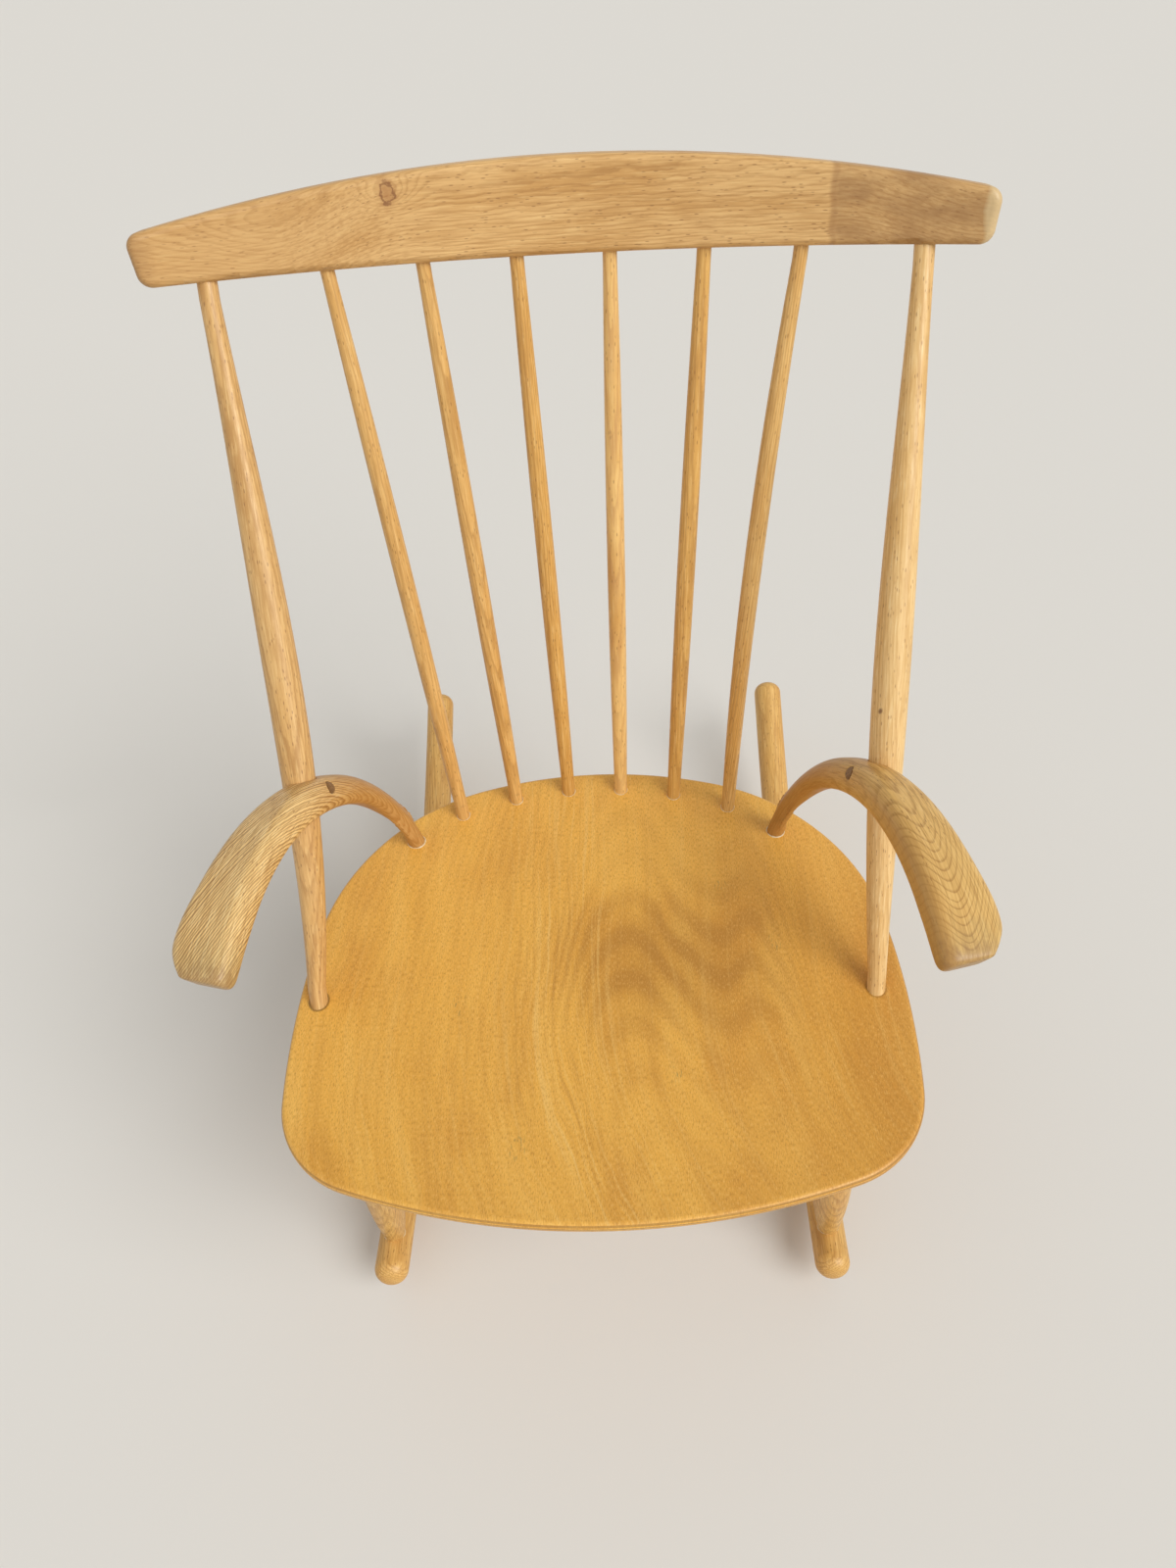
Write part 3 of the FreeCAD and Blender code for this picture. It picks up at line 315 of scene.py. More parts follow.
# Bearers: two planed beech battens glued across the underside, hollowed to fit the curve of the seat.
# They carry the legs and are never seen from above.
BEARER_PITH = (34, -20)
BEARER_FIGURE_STEP = 610
BEARER_TONE = {
    "pale": "#cfa463", "late": "#a5763d", "warm": "#c08f4c", "fleck": "#80542a", "gleam": "#e0bd7e",
}
for number, bearer in enumerate(("front_bearer", "rear_bearer"), start=1):
    material, tree, shader = new_material(f"planed beech {bearer}")
    low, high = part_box(bearer)
    own = in_own_frame(tree, (low + high) / 2, (0, math.radians(90), 0))
    grain = add(tree, "VectorMath", [own, (0, 0, BEARER_FIGURE_STEP * number)])
    lacquered_beech(tree, shader, grain, BEARER_TONE, BEARER_PITH, ring=2.8)
    wear(bearer, material)

# Seat: seven veneers of beech, glued and pressed to a shallow curve, then cut to shape and rounded.
# The face veneer is peeled, so its rings make broad arches; the lacquer has gone amber.
SEAT_ARC_CENTRE = (0, 95.6, 2617.7)
SEAT_ARC_RADIUS = 2278.2
VENEER = 1.65
VENEER_START = 0.4
VENEER_FIGURE_STEP = 37
ARCH_PITCH = 47
ARCH_DEPTH = 420
ARCH_FALL = 5
ARCH_LINE = (
    (-75, -420), (-45, -270), (-28, -165), (-12, -90), (8, -37), (30, -17), (55, -36), (80, -82),
    (100, -108), (114, -114), (128, -105), (142, -95), (158, -125), (175, -210), (200, -420),
)
ARCH_MIDDLE = (65, -80, 0)
ARCH_REACH = (140, 105)
RING_SWAY = (46, 170, 1)
RING_SWAY_DEPTH = 22
FAN_FROM = -110
FAN_SPREAD = -0.0012
FAN_MIDDLE = -30
FAN_WIDTH = (60, 12)
CLOUD = (90, 150, 1)
BROAD_STREAK = (34, 300, 1)
FINE_STREAK = (4.5, 300, 1)
PORE = (0.9, 3.6, 1)
SCAR = (1.6, 9, 1)
DARKER_RIGHT = (60, 230)
PALER_BACK = (-40, 110)
SEAT_MARKS = (
    (116, 0, 9, 11), (67, -192, 8, 14), (-118, -120, 9, 18), (-60, -255, 12, 16), (160, -62, 8, 14),
)
POST_FOOT_RING = (10, 8.8)
POST_FOOT_DARKENING = {"left": 0.65, "right": 0.3}
END_GRAIN_DEPTH = 0.55

material, tree, shader = new_material("pressed beech plywood seat")
own = in_own_frame(tree)
x, y = (add(tree, "SeparateXYZ", [own], out=axis) for axis in "XY")
below = add(tree, "VectorMath", [own, SEAT_ARC_CENTRE], operation="SUBTRACT")
below = add(tree, "VectorMath", [below, (0, 1, 1)], operation="MULTIPLY")
below = add(tree, "VectorMath", [below], out="Value", operation="LENGTH")
below = add(tree, "Math", [below, SEAT_ARC_RADIUS - VENEER_START], operation="SUBTRACT")
sheet = add(tree, "Math", [below, VENEER], operation="DIVIDE")
sheet = add(tree, "Math", [sheet], operation="FLOOR")
face = add(tree, "Math", [sheet, VENEER_FIGURE_STEP], operation="MULTIPLY")
plan = add(tree, "CombineXYZ", [x, y, face])

# Each growth ring comes to the face as a line that arches over the middle, dips and then runs forwards.
sway = add(tree, "VectorMath", [plan, RING_SWAY], operation="DIVIDE")
sway = add(tree, "TexNoise", {"Vector": sway, "Scale": 1, "Detail": 2})
sway = add(tree, "Math", [sway, 0.5], operation="SUBTRACT")
across = add(tree, "Math", [sway, RING_SWAY_DEPTH, x], operation="MULTIPLY_ADD")
forward = add(tree, "Math", [FAN_FROM, y], operation="SUBTRACT")
forward = add(tree, "Math", [forward, 0], operation="MAXIMUM")
forward = add(tree, "Math", [forward, 2], operation="POWER")
across = add(tree, "Math", [forward, FAN_SPREAD, across], operation="MULTIPLY_ADD")
left_end, right_end = ARCH_LINE[0][0], ARCH_LINE[-1][0]
share = add(tree, "MapRange", {"Value": across, "From Min": left_end, "From Max": right_end})
drawn = add(tree, "FloatCurve", {"Value": share})
curve = drawn.node.mapping.curves[0]
for place, height in ARCH_LINE[1:-1]:
    curve.points.new((place - left_end) / (right_end - left_end), 1 + height / ARCH_DEPTH)
curve.points[-1].location = (1, 0)
drawn.node.mapping.update()
line = add(tree, "MapRange", {"Value": drawn, "To Min": -ARCH_DEPTH, "To Max": 0})
for sign, start in ((-1, left_end), (1, right_end)):
    past = add(tree, "Math", [across, start], operation="SUBTRACT")
    past = add(tree, "Math", [past, sign], operation="MULTIPLY")
    past = add(tree, "Math", [past, 0], operation="MAXIMUM")
    line = add(tree, "Math", [past, -ARCH_FALL, line], operation="MULTIPLY_ADD")
years = add(tree, "Math", [y, line], operation="SUBTRACT")
years = add(tree, "Math", [years, ARCH_PITCH], operation="DIVIDE")
wave = add(tree, "Math", [years, 2 * math.pi], operation="MULTIPLY")
wave = add(tree, "Math", [wave], operation="SINE")
band = add(tree, "MapRange", {"Value": wave, "From Min": -0.9}, **SMOOTH)

# The arches are strongest in the middle, come and go in clouds, and lie among streaks along the grain.
middle = add(tree, "VectorMath", [plan, ARCH_MIDDLE], operation="SUBTRACT")
middle = add(tree, "VectorMath", [middle, (1 / ARCH_REACH[0], 1 / ARCH_REACH[1], 0)], operation="MULTIPLY")
middle = add(tree, "VectorMath", [middle], out="Value", operation="LENGTH")
cloud = add(tree, "VectorMath", [plan, CLOUD], operation="DIVIDE")
cloud = add(tree, "TexNoise", {"Vector": cloud, "Scale": 1, "Detail": 3, "Roughness": 0.5})
strong = {"Value": middle, "From Min": 1, "From Max": 0.2, "To Min": 0.15, "To Max": 0.66}
depth = {"Value": cloud, "From Min": 0.3, "From Max": 0.6, "To Min": 0.35}
shown = [add(tree, "MapRange", strong), add(tree, "MapRange", depth)]
band = add(tree, "Math", [band, add(tree, "Math", shown, operation="MULTIPLY")], operation="MULTIPLY")
fanned = add(tree, "CombineXYZ", [across, y, face])
broad = add(tree, "VectorMath", [fanned, BROAD_STREAK], operation="DIVIDE")
broad = add(tree, "TexNoise", {"Vector": broad, "Scale": 1, "Detail": 3, "Roughness": 0.6})
body = stain(tree, "#ebb14b", "#d99b3b", cloud, 0.42, 0.7, **SMOOTH)
body = stain(tree, body, "#c98f37", broad, 0.5, 0.7, 0.5)
body = stain(tree, body, "#f3c263", broad, 0.48, 0.3, 0.5)
body = stain(tree, body, "#c98c38", x, *DARKER_RIGHT, 0.5)
body = stain(tree, body, "#f4bb55", y, *PALER_BACK, 0.55)
body = stain(tree, body, "#b67e2e", middle, 0.85, 0.1, 0.42, **SMOOTH)
body = add(tree, "Mix", {0: band, 6: body, 7: "#b27a2b"}, **TINT)
lines = add(tree, "VectorMath", [fanned, FINE_STREAK], operation="DIVIDE")
lines = add(tree, "TexNoise", {"Vector": lines, "Scale": 1, "Detail": 4, "Roughness": 0.65})
fan = add(tree, "Math", [across, -FAN_MIDDLE])
fan = add(tree, "Math", [fan], operation="ABSOLUTE")
limits = {"Value": fan, "From Min": FAN_WIDTH[0], "From Max": FAN_WIDTH[1], "To Min": 0.2, "To Max": 0.65}
fan = add(tree, "MapRange", limits)
for start, full, code in ((0.52, 0.68, "#f0c673"), (0.46, 0.3, "#bd8839")):
    streak = add(tree, "MapRange", {"Value": lines, "From Min": start, "From Max": full})
    streak = add(tree, "Math", [streak, fan], operation="MULTIPLY")
    body = add(tree, "Mix", {0: streak, 6: body, 7: code}, **TINT)

# The pores of peeled beech are short dashes along the grain, here about twice their real size.
pores = add(tree, "VectorMath", [plan, PORE], operation="DIVIDE")
pores = add(tree, "TexNoise", {"Vector": pores, "Scale": 1, "Detail": 2, "Roughness": 0.7})
body = stain(tree, body, "#ab752b", pores, 0.5, 0.7, 0.62)
body = stain(tree, body, "#f2c878", pores, 0.46, 0.28, 0.5)

# Use has left a few stray scars, and some patches where they lie close together.
scars = add(tree, "VectorMath", [plan, SCAR], operation="DIVIDE")
scars = add(tree, "TexNoise", {"Vector": scars, "Scale": 1, "Detail": 2, "Roughness": 0.6})
body = stain(tree, body, "#7d6534", scars, 0.72, 0.8, 0.5)
cuts = add(tree, "MapRange", {"Value": scars, "From Min": 0.55, "From Max": 0.66, "To Max": 0.6})
for mark_x, mark_y, mark_width, mark_length in SEAT_MARKS:
    shift = add(tree, "VectorMath", [plan, (mark_x, mark_y, 0)], operation="SUBTRACT")
    shift = add(tree, "VectorMath", [shift, (1 / mark_width, 1 / mark_length, 0)], operation="MULTIPLY")
    far = add(tree, "VectorMath", [shift], out="Value", operation="LENGTH")
    spot = add(tree, "MapRange", {"Value": far, "From Min": 1, "From Max": 0.3}, **SMOOTH)
    spot = add(tree, "Math", [spot, cuts], operation="MULTIPLY")
    body = add(tree, "Mix", {0: spot, 6: body, 7: "#7d7444"}, **TINT)

# The seat is painted darker in a thin line round the feet of the back posts, more round the left one.
for side, depth in POST_FOOT_DARKENING.items():
    foot, axis = foot_of(f"{side}_back_post")
    shift = add(tree, "VectorMath", [own, foot / MM], operation="SUBTRACT")
    beside = add(tree, "VectorMath", [shift, axis], operation="CROSS_PRODUCT")
    beside = add(tree, "VectorMath", [beside], out="Value", operation="LENGTH")
    body = stain(tree, body, "#56401f", beside, *POST_FOOT_RING, depth)

# Every second veneer runs crosswise, so the rounded edge shows its end grain as darker lines.
crosswise = add(tree, "Math", [sheet, 2], operation="FLOORED_MODULO")
crosswise = add(tree, "Math", [crosswise, END_GRAIN_DEPTH], operation="MULTIPLY")
body = add(tree, "Mix", {0: crosswise, 6: body, 7: "#8a6230"}, **TINT)
lacquer(tree, shader, body, pores, pores, 0.2, invert=True)
wear("seat", material)

# Spindles: six slim turned beech rods, glued into the seat and the crest rail.
# Each was cut from its own blank, so the figure and the warmth differ from rod to rod.
SPINDLE_FOOT_RADIUS = 6.25
SPINDLE_FIGURE_STEP = 777
SPINDLE_TONE = {"warm": "#d19c50", "fleck": "#8d5f2b", "gleam": "#eecb8a"}
SPINDLE_GLUE_FROM = 25
SPINDLE_GLUE_WIDTH = 0.8
SPINDLES = (
    ("#ddb06a", "#b98a4a", (6, 11), 0.02),
    ("#dfb067", "#b07f3f", (-7, 9), 0.035),
    ("#dba95a", "#b07c36", (12, 5), 0.02),
    ("#f0c67c", "#c8965a", (2, 9), 0.03),
    ("#d9a859", "#b1803f", (-9, 12), 0.02),
    ("#dcb06a", "#b38545", (10, -6), 0.03),
)
for number, (pale, late, pith, slope) in enumerate(SPINDLES, start=1):
    spindle = f"spindle_{number}"
    tone = {"pale": pale, "late": late, **SPINDLE_TONE}
    step = SPINDLE_FIGURE_STEP * number
    turned_beech(spindle, f"turned beech {spindle}", tone, step, pith, ring=2.0, slope=slope)
    foot, axis = foot_of(spindle)
    start = foot + SPINDLE_GLUE_FROM * MM * axis
    glue_bead(f"{spindle}_glue", "seat", start, axis, SPINDLE_FOOT_RADIUS + GLUE_GAP, SPINDLE_GLUE_WIDTH)

# Back posts: two thicker turned rods, glued into the seat and the crest rail and screwed to the arms.
# The right one is painted paler, as painted sunlight, and has a small pin knot a little above the arm.
POST_TONES_RIGHT_PAINTED_SUNLIT = {
    "left": {
        "pale": "#d9ae6f", "late": "#ad7e45", "warm": "#cfa05d", "fleck": "#845730", "gleam": "#ecca8c",
    },
    # Painted sunlight: the right post's tones are paler than the left's.
    "right": {
        "pale": "#e8c284", "late": "#c49656", "warm": "#dcae68", "fleck": "#96683a", "gleam": "#f5daa4",
    },
}
POST_PITHS = {"left": (5, 16), "right": (-40, 30)}
POST_FIGURE_STEPS = {"left": 640, "right": 1260}
PIN_KNOT = (236, 16.2, 555.2)
PIN_KNOT_REACH = (1.8, 1.8, 2.8)
PIN_KNOT_EDGE = (1.3, 0.5)
for side, tone in POST_TONES_RIGHT_PAINTED_SUNLIT.items():
    post = f"{side}_back_post"
    figure = (tone, POST_FIGURE_STEPS[side], POST_PITHS[side])
    tree, shader, body = turned_beech(post, f"turned beech {side} post", *figure, ring=2.6, slope=0.03)
    if side == "right":
        shift = add(tree, "VectorMath", [in_own_frame(tree), PIN_KNOT], operation="SUBTRACT")
        shift = add(tree, "VectorMath", [shift, PIN_KNOT_REACH], operation="DIVIDE")
        far = add(tree, "VectorMath", [shift], out="Value", operation="LENGTH")
        body = stain(tree, body, "#744a22", far, *PIN_KNOT_EDGE, 0.85)
        tree.links.new(body, shader.inputs["Base Color"])

# Crest rail: one beech board, sawn to a low arch, bent to the sitter's back and rounded all round.
# Its grain runs from end to end and turns aside round one knot; the right end is darker and mottled.
CREST_BACK = 257.8
CREST_HEIGHT = 816.3
CREST_RAKE = 17
CREST_BEND = 850
CREST_PITH = (64, 30)
CREST_TONE = {
    "pale": "#deb375", "late": "#ac7d43", "warm": "#c99959", "fleck": "#93683a", "gleam": "#e8c384",
}
RUFFLE = (30, 14, 1)
RUFFLE_DEPTH = 4
FLAME_MIDDLE = 45
FLAME_FROM = 148
FLAME_LENGTH = 120
FLAME_LIFT = 24
FLAME_SINK = 22
FLAME_POINT = 0.14
KNOT = (-124, 49, 0)
KNOT_REACH = (17, 13)
KNOT_PUSH = 13
KNOT_TURN = 0.35
KNOT_CORE = (9, 13)
KNOT_RAG = 4
KNOT_RAG_DEPTH = 0.9
KNOT_EDGE = (1.5, 0.6)
BARK = 0.95
BARK_WIDTH = (0.13, 0.03)
HEARTWOOD = (198, 204)
HEARTWOOD_SHIFT = 8
SEAM = 200
SEAM_WIDTH = (4, 0.5)
CHIP = (299, 302)
CHIP_SHIFT = 9
DULL_LEFT = (-60, -200)
LEFT_RIM = (-288, -304)
material, tree, shader = new_material("bent beech crest rail")
own = in_own_frame(tree, (0, CREST_BACK * MM, CREST_HEIGHT * MM), (math.radians(-CREST_RAKE), 0, 0))
x, y, z = (add(tree, "SeparateXYZ", [own], out=axis) for axis in "XYZ")
sag = add(tree, "Math", [x, x], operation="MULTIPLY")
depth = add(tree, "Math", [sag, 1 / (2 * CREST_BEND), y], operation="MULTIPLY_ADD")
board = add(tree, "CombineXYZ", [x, z, 0])
ruffle = add(tree, "VectorMath", [board, RUFFLE], operation="DIVIDE")
ruffle = add(tree, "TexNoise", {"Vector": ruffle, "Scale": 1, "Detail": 3})

# In the middle the rings run along the lower edge; towards both ends they close to pointed flames.
flame = add(tree, "Math", [x, -FLAME_MIDDLE])
flame = add(tree, "Math", [flame], operation="ABSOLUTE")
flame = add(tree, "Math", [flame, FLAME_FROM], operation="SUBTRACT")
flame = add(tree, "Math", [flame, 0], operation="MAXIMUM")
ends = add(tree, "MapRange", {"Value": flame, "From Max": FLAME_LENGTH}, **SMOOTH)
grain_z = add(tree, "Math", [ends, FLAME_LIFT, z], operation="MULTIPLY_ADD")
grain_depth = add(tree, "Math", [ends, FLAME_SINK, depth], operation="MULTIPLY_ADD")
grain = add(tree, "CombineXYZ", [grain_z, grain_depth, x])
swell = add(tree, "Math", [ruffle, RUFFLE_DEPTH], operation="MULTIPLY")
swell = add(tree, "Math", [flame, FLAME_POINT, swell], operation="MULTIPLY_ADD")
from_knot = add(tree, "VectorMath", [board, KNOT], operation="SUBTRACT")
shift = add(tree, "VectorMath", [from_knot, (1 / KNOT_REACH[0], 1 / KNOT_REACH[1], 0)], operation="MULTIPLY")
far = add(tree, "VectorMath", [shift, shift], out="Value", operation="DOT_PRODUCT")
hill = add(tree, "Math", [far, -1], operation="MULTIPLY")
hill = add(tree, "Math", [hill], operation="EXPONENT")
swell = add(tree, "Math", [hill, -KNOT_PUSH, swell], operation="MULTIPLY_ADD")
figure = {"ring": 2.3, "slope": 0.012, "contrast": 0.62, "early": 0.4, "swell": swell}
body = lacquered_beech(tree, shader, grain, CREST_TONE, CREST_PITH, **figure)

# The right end was heartwood: darker and mottled behind a sharp line across the board.
past = add(tree, "Math", [ruffle, HEARTWOOD_SHIFT, x], operation="MULTIPLY_ADD")
heart = add(tree, "MapRange", {"Value": past, "From Min": HEARTWOOD[0], "From Max": HEARTWOOD[1]})
levels = {"Value": ruffle, "From Min": 0.3, "From Max": 0.7, "To Min": 0.25, "To Max": 0.75}
heart = add(tree, "Math", [heart, add(tree, "MapRange", levels)], operation="MULTIPLY")
body = add(tree, "Mix", {0: heart, 6: body, 7: "#93683a"}, **TINT)
seam = add(tree, "Math", [past, SEAM], operation="SUBTRACT")
seam = add(tree, "Math", [seam], operation="ABSOLUTE")
body = stain(tree, body, "#96683a", seam, *SEAM_WIDTH, 0.45, **SMOOTH)

# A pale chip at the tip of the right end, where the lacquer has come off; the left end has dulled.
chip = add(tree, "Math", [ruffle, CHIP_SHIFT, x], operation="MULTIPLY_ADD")
body = stain(tree, body, "#dcc596", chip, *CHIP, 0.6)
body = stain(tree, body, "#b4874f", x, *DULL_LEFT, 0.35)
body = stain(tree, body, "#94693b", x, *LEFT_RIM, 0.55)

# The knot: a dark oval core with a broken bark line.
oval = {"Vector": from_knot, "Rotation": (0, 0, KNOT_TURN), "Scale": (1 / KNOT_CORE[0], 1 / KNOT_CORE[1], 1)}
core = add(tree, "VectorMath", [add(tree, "Mapping", oval)], out="Value", operation="LENGTH")
ragged = add(tree, "TexNoise", {"Vector": board, "Scale": 1 / KNOT_RAG, "Detail": 3})
core = add(tree, "Math", [ragged, KNOT_RAG_DEPTH, core], operation="MULTIPLY_ADD")
body = stain(tree, body, "#a5713f", core, *KNOT_EDGE, 0.7)
bark = add(tree, "Math", [core, BARK], operation="SUBTRACT")
bark = add(tree, "Math", [bark], operation="ABSOLUTE")
body = stain(tree, body, "#74431e", bark, *BARK_WIDTH, 0.7)
tree.links.new(body, shader.inputs["Base Color"])
wear("crest_rail", material)

# Arms: bent beech, round at the seat and spread to a broad paddle at the hand, housed round the post.
# The left arm shows straight quarter grain, the right one nested arches; the tips are worn grey.
ARM_ROOT = (173.75, 64.5, 339.7)
ARM_TOE = 9.3
ARM_LEAN = 13.7
ARM_RADIUS = 210
ARM_CENTRE = (215.7, 0, 8)
ARM_SWEEP = 108.5
ARM_ROOT_RADIUS = 8
ARM_GLUE_FROM = 15
ARM_GLUE_GAP = 0.3
ARM_GLUE_WIDTH = 1.6
ARM_TONES = {
    "left": {
        "pale": "#f2cc88", "late": "#996c36", "warm": "#e4b870", "fleck": "#96693a", "gleam": "#f8e0aa",
    },
    "right": {
        "pale": "#ddb268", "late": "#97692c", "warm": "#cf9f56", "fleck": "#86592a", "gleam": "#efcb86",
    },
}
ARM_RINGS = {
    "left": {
        "pith": (-110, 110), "ring": 1.8, "slope": -0.09, "wander": 2, "contrast": 1.4, "early": 0.25,
    },
    "right": {"pith": (-4, -6), "ring": 2.8, "slope": 0, "wander": 3, "contrast": 0.8, "early": 0.55},
}
ASLANT_FROM = 200
ARM_SLANTS = {"left": -0.0008, "right": 0.0013}
PLAIN_ROOT = (225, 125)
RUB = (5, 5, 12)
RUB_SHIFT = 60
WORN_TIP = (392, 422)
BROWN_END = (411, 427)
# Painted shade on the right arm's inner side, across the arm in millimetres.
RIGHT_INNER_PAINTED_SHADE = (-15, -23)
SAW_CUTS = ((10, 10), (-6, 34), (-9, 56))
MERGED = 0.01
VOXEL = 1.1
RASPED = (26, 46)
RASPED_LEAST = 0.03
RASP_STROKES = 60
for side, sign in SIDES:
    material, tree, shader = new_material(f"bent beech {side} arm")
    root = Vector((sign * ARM_ROOT[0], ARM_ROOT[1], ARM_ROOT[2])) * MM
    turn = (math.radians(-sign * ARM_LEAN), 0, math.radians(sign * ARM_TOE - 90))
    own = in_own_frame(tree, root, turn)
    spoke = add(tree, "VectorMath", [own, ARM_CENTRE], operation="SUBTRACT")
    x, y, z = (add(tree, "SeparateXYZ", [spoke], out=axis) for axis in "XYZ")
    back = add(tree, "Math", [x, -1], operation="MULTIPLY")
    sweep = add(tree, "Math", [z, back], operation="ARCTAN2")
    arc = add(tree, "Math", [sweep, ARM_RADIUS], operation="MULTIPLY")
    flat = add(tree, "VectorMath", [spoke, (1, 0, 1)], operation="MULTIPLY")
    reach = add(tree, "VectorMath", [flat], out="Value", operation="LENGTH")
    off = add(tree, "Math", [reach, ARM_RADIUS], operation="SUBTRACT")
    grain = add(tree, "CombineXYZ", [off, y, arc])

    # Towards the hand the rings lie ever more aslant: stripes across the left arm, arches on the right.
    # Towards the root the wood is plainer and has gone brown.
    aslant = add(tree, "Math", [arc, ASLANT_FROM], operation="SUBTRACT")
    aslant = add(tree, "Math", [aslant, 0], operation="MAXIMUM")
    aslant = add(tree, "Math", [aslant, 2], operation="POWER")
    swell = add(tree, "Math", [aslant, ARM_SLANTS[side]], operation="MULTIPLY")
    body = lacquered_beech(tree, shader, grain, ARM_TONES[side], swell=swell, **ARM_RINGS[side])
    body = stain(tree, body, "#b07b39", arc, *PLAIN_ROOT, 0.75)

    # Hands have worn the lacquer off the tip, where dirt has greyed the bare wood.
    rub = add(tree, "VectorMath", [grain, RUB], operation="DIVIDE")
    rub = add(tree, "TexNoise", {"Vector": rub, "Scale": 1, "Detail": 4, "Roughness": 0.7})
    edge = add(tree, "Math", [rub, RUB_SHIFT, arc], operation="MULTIPLY_ADD")
    body = stain(tree, body, "#988556", edge, *WORN_TIP, 0.4)
    # Painted shade: on the right arm the inner side is laid over with a darker, plainer tone.
    if side == "right":
        body = stain(tree, body, "#bd8a44", y, *RIGHT_INNER_PAINTED_SHADE, 0.75)
    body = stain(tree, body, "#966a3b", edge, *BROWN_END, 0.5)
    tree.links.new(body, shader.inputs["Base Color"])

    # The arm is a copy of the solid. Saw cuts take off the outer corner of its hand end, each set by how far
    # inside the arm's middle it starts and by its slant, and the rasp rounds what they leave.
    frame_turn = Matrix.Rotation(turn[2], 3, "Z") @ Matrix.Rotation(turn[0], 3, "X")
    angle = math.radians(ARM_SWEEP)
    ahead = Vector((math.sin(angle), 0, math.cos(angle)))
    outwards = Vector((0, sign, 0))
    tip = Vector(ARM_CENTRE) + ARM_RADIUS * Vector((-math.cos(angle), 0, math.sin(angle)))
    bpy.ops.object.select_all(action="DESELECT")
    nodes[f"{side}_arm"].select_set(True)
    bpy.context.view_layer.objects.active = nodes[f"{side}_arm"]
    bpy.ops.object.duplicate()
    arm = bpy.context.object
    arm.name = f"{side}_arm_shaped"
    bpy.ops.object.mode_set(mode="EDIT")
    bpy.ops.mesh.select_all(action="SELECT")
    bpy.ops.mesh.remove_doubles(threshold=MERGED * MM)
    for inset, slant in SAW_CUTS:
        start = root + frame_turn @ (tip - inset * outwards) * MM
        slant = math.radians(slant)
        saw = frame_turn @ (ahead * math.cos(slant) + outwards * math.sin(slant))
        bpy.ops.mesh.select_all(action="SELECT")
        bpy.ops.mesh.bisect(plane_co=start, plane_no=saw, use_fill=True, clear_outer=True)
    bpy.ops.object.mode_set(mode="OBJECT")
    even = arm.modifiers.new("even", "REMESH")
    even.mode = "VOXEL"
    even.voxel_size = VOXEL * MM
    even.use_smooth_shade = True
    bpy.ops.object.modifier_apply(modifier="even")
    rasped = arm.vertex_groups.new(name="rasped")
    for vertex in arm.data.vertices:
        short = ahead.dot(tip - frame_turn.transposed() @ (vertex.co - root) / MM)
        share = (RASPED[1] - short) / (RASPED[1] - RASPED[0])
        rasped.add([vertex.index], min(1, max(RASPED_LEAST, share)), "REPLACE")
    rasp = arm.modifiers.new("rasp", "SMOOTH")
    rasp.factor = 0.5
    rasp.iterations = RASP_STROKES
    rasp.vertex_group = "rasped"
    bpy.ops.object.modifier_apply(modifier="rasp")
    arm.data.materials.clear()
    arm.data.materials.append(material)
    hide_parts(f"{side}_arm")
    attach(arm, "root")
    axis = frame_turn @ Vector((0, 0, 1))
    start = root + ARM_GLUE_FROM * MM * axis
    glue_bead(f"{side}_arm_glue", "seat", start, axis, ARM_ROOT_RADIUS + ARM_GLUE_GAP, ARM_GLUE_WIDTH)

# Arm screws and plugs: a zinc plated steel screw through each arm into its post, bright but scuffed,
# hidden by a glued beech plug. The plugs were planed flush, and their end grain has taken up dirt.
SCUFFS_PER_MM = 0.8
PLUG_PITH = (4, 6)
PLUG_TONE = {
    "pale": "#8a6232", "late": "#5f3f1b", "warm": "#7a5428", "fleck": "#4a3015", "gleam": "#a07a48",
}
for side, _ in SIDES:
    material, tree, shader = new_material(f"zinc plated {side} screw")
    scuff = add(tree, "TexNoise", {"Vector": in_own_frame(tree), "Scale": SCUFFS_PER_MM, "Detail": 3})
    levels = {"Value": scuff, "From Min": 0.3, "From Max": 0.7, "To Min": 0.3, "To Max": 0.5}
    tint = add(tree, "Mix", {0: scuff, 6: "#b9b6ae", 7: "#8f8c86"}, **TINT)
    shader.inputs["Metallic"].default_value = 1
    tree.links.new(add(tree, "MapRange", levels), shader.inputs["Roughness"])
    tree.links.new(tint, shader.inputs["Base Color"])
    wear(f"{side}_arm_screw", material)
    material, tree, shader = new_material(f"end grain beech {side} plug")
    low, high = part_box(f"{side}_arm_plug")
    own = in_own_frame(tree, (low + high) / 2)
    lacquered_beech(tree, shader, own, PLUG_TONE, PLUG_PITH, ring=1.6)
    wear(f"{side}_arm_plug", material)

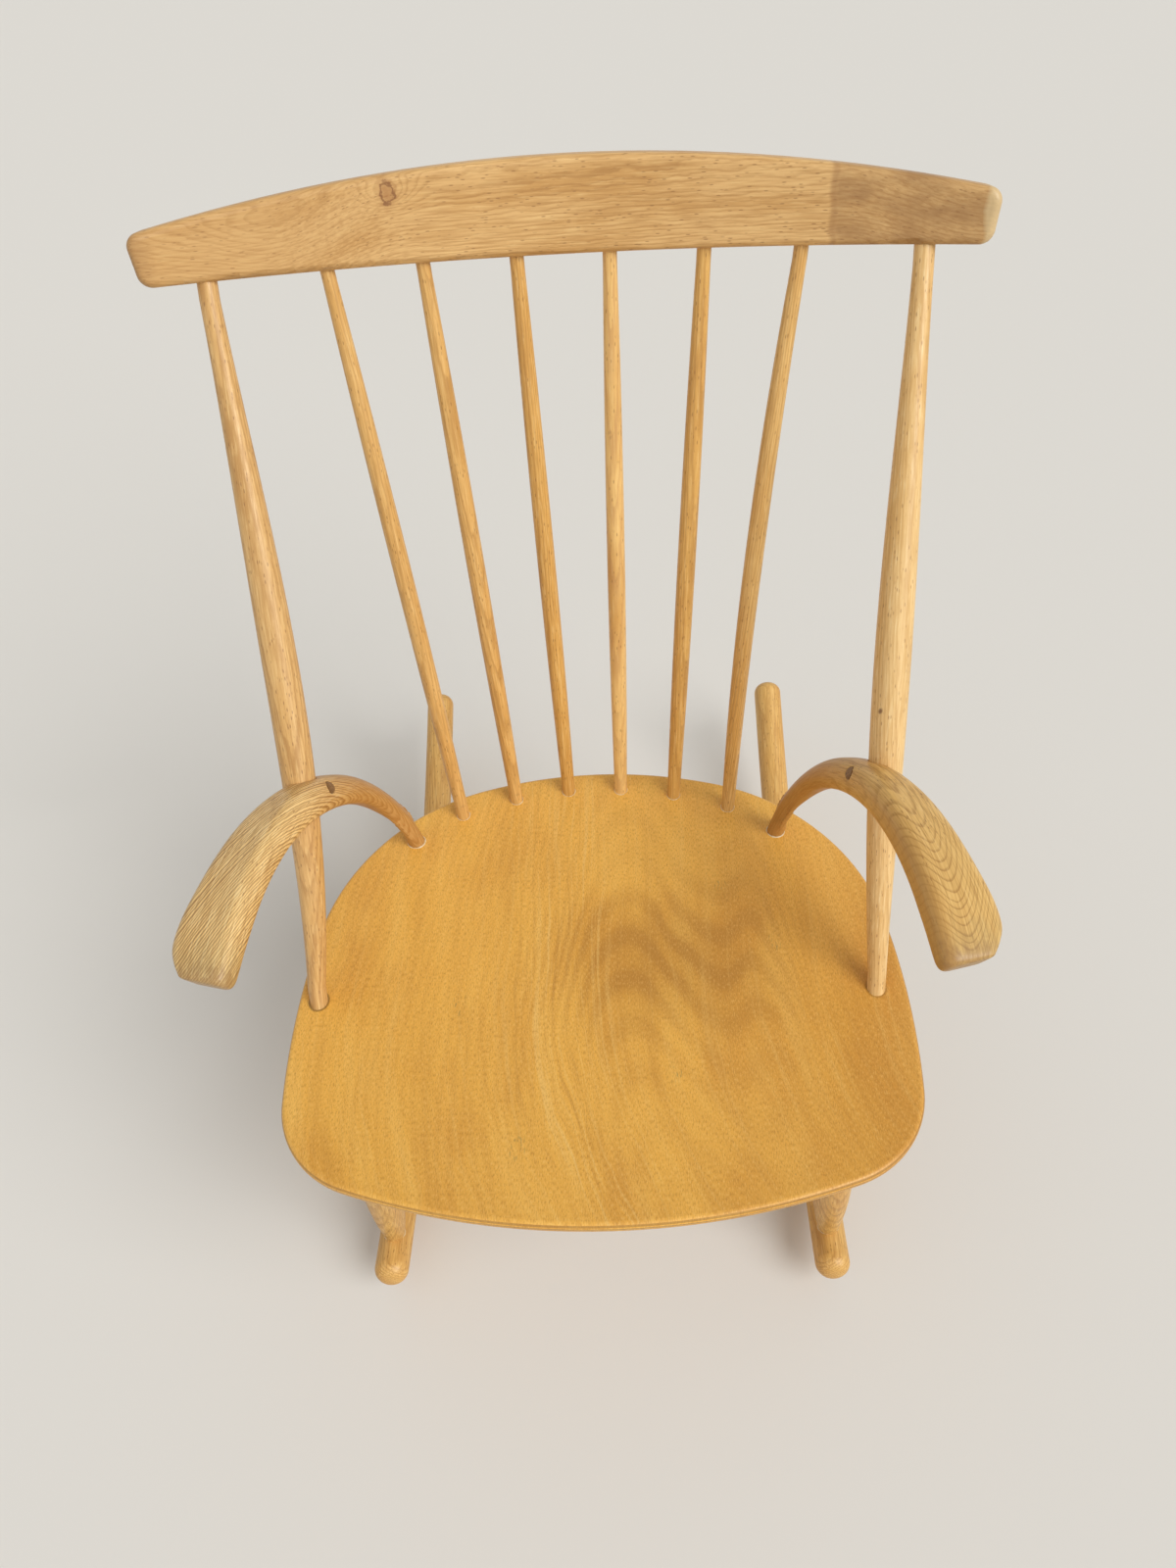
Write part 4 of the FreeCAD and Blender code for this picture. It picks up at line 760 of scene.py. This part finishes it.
# Studio: a plain pale floor, soft light from the right front, and the camera where the photograph was
# taken. Its place and the floor's size are in metres, its sensor and lens in millimetres.
FLOOR_SIZE = 40
SKY_LIGHT = 0.48
SKY_SHOWN = 0.8
LAMPS = (
    ("key", (-0.75, 0.55, -0.8), 40, 2.3),
    ("fill", (0.6, 0.7, -0.6), 90, 0.4),
)
CAMERA_PLACE = (0.0437, -0.6093, 1.2326)
CAMERA_SENSOR = 36
CAMERA_LENS = 26.55
PITCH = math.radians(50.309)
YAW = math.radians(-3.910)
ROLL = math.radians(4.903)
material, tree, shader = new_material("pale matt floor")
bpy.ops.mesh.primitive_plane_add(size=FLOOR_SIZE)
floor = bpy.context.object
floor.name = "floor"
shader.inputs["Base Color"].default_value = colour("#dfdcd6")
shader.inputs["Roughness"].default_value = 0.9
shader.inputs["Specular IOR Level"].default_value = 0.1
floor.data.materials.append(material)

world = bpy.data.worlds.new("studio")
bpy.context.scene.world = world
world.use_nodes = True
sky = world.node_tree.nodes["Background"]
sky.inputs["Color"].default_value = colour("#f2f1ee")
rays = add(world.node_tree, "LightPath").node
seen = add(world.node_tree, "Math", [rays.outputs["Is Camera Ray"], rays.outputs["Is Glossy Ray"]])
seen = add(world.node_tree, "Math", [seen, rays.outputs["Is Transmission Ray"]])
glow = add(world.node_tree, "MapRange", {"Value": seen, "To Min": SKY_LIGHT, "To Max": SKY_SHOWN})
world.node_tree.links.new(glow, sky.inputs["Strength"])

for name, towards, width, strength in LAMPS:
    bpy.ops.object.light_add(type="SUN", location=(0, 0, 3))
    light = bpy.context.object
    light.name = name
    light.data.angle = math.radians(width)
    light.data.energy = strength
    light.rotation_euler = Vector(towards).to_track_quat("-Z", "Y").to_euler()

ahead = Vector((math.sin(YAW) * math.cos(PITCH), math.cos(YAW) * math.cos(PITCH), -math.sin(PITCH)))
level = Vector((math.cos(YAW), -math.sin(YAW), 0))
down = ahead.cross(level)
right = level * math.cos(ROLL) + down * math.sin(ROLL)
up = level * math.sin(ROLL) - down * math.cos(ROLL)
bpy.ops.object.camera_add()
camera = bpy.context.object
camera.data.sensor_width = CAMERA_SENSOR
camera.data.lens = CAMERA_LENS
turn = Matrix((right, up, -ahead)).transposed().to_4x4()
camera.matrix_world = Matrix.Translation(CAMERA_PLACE) @ turn
bpy.context.scene.camera = camera
bpy.context.scene.view_settings.view_transform = "Standard"
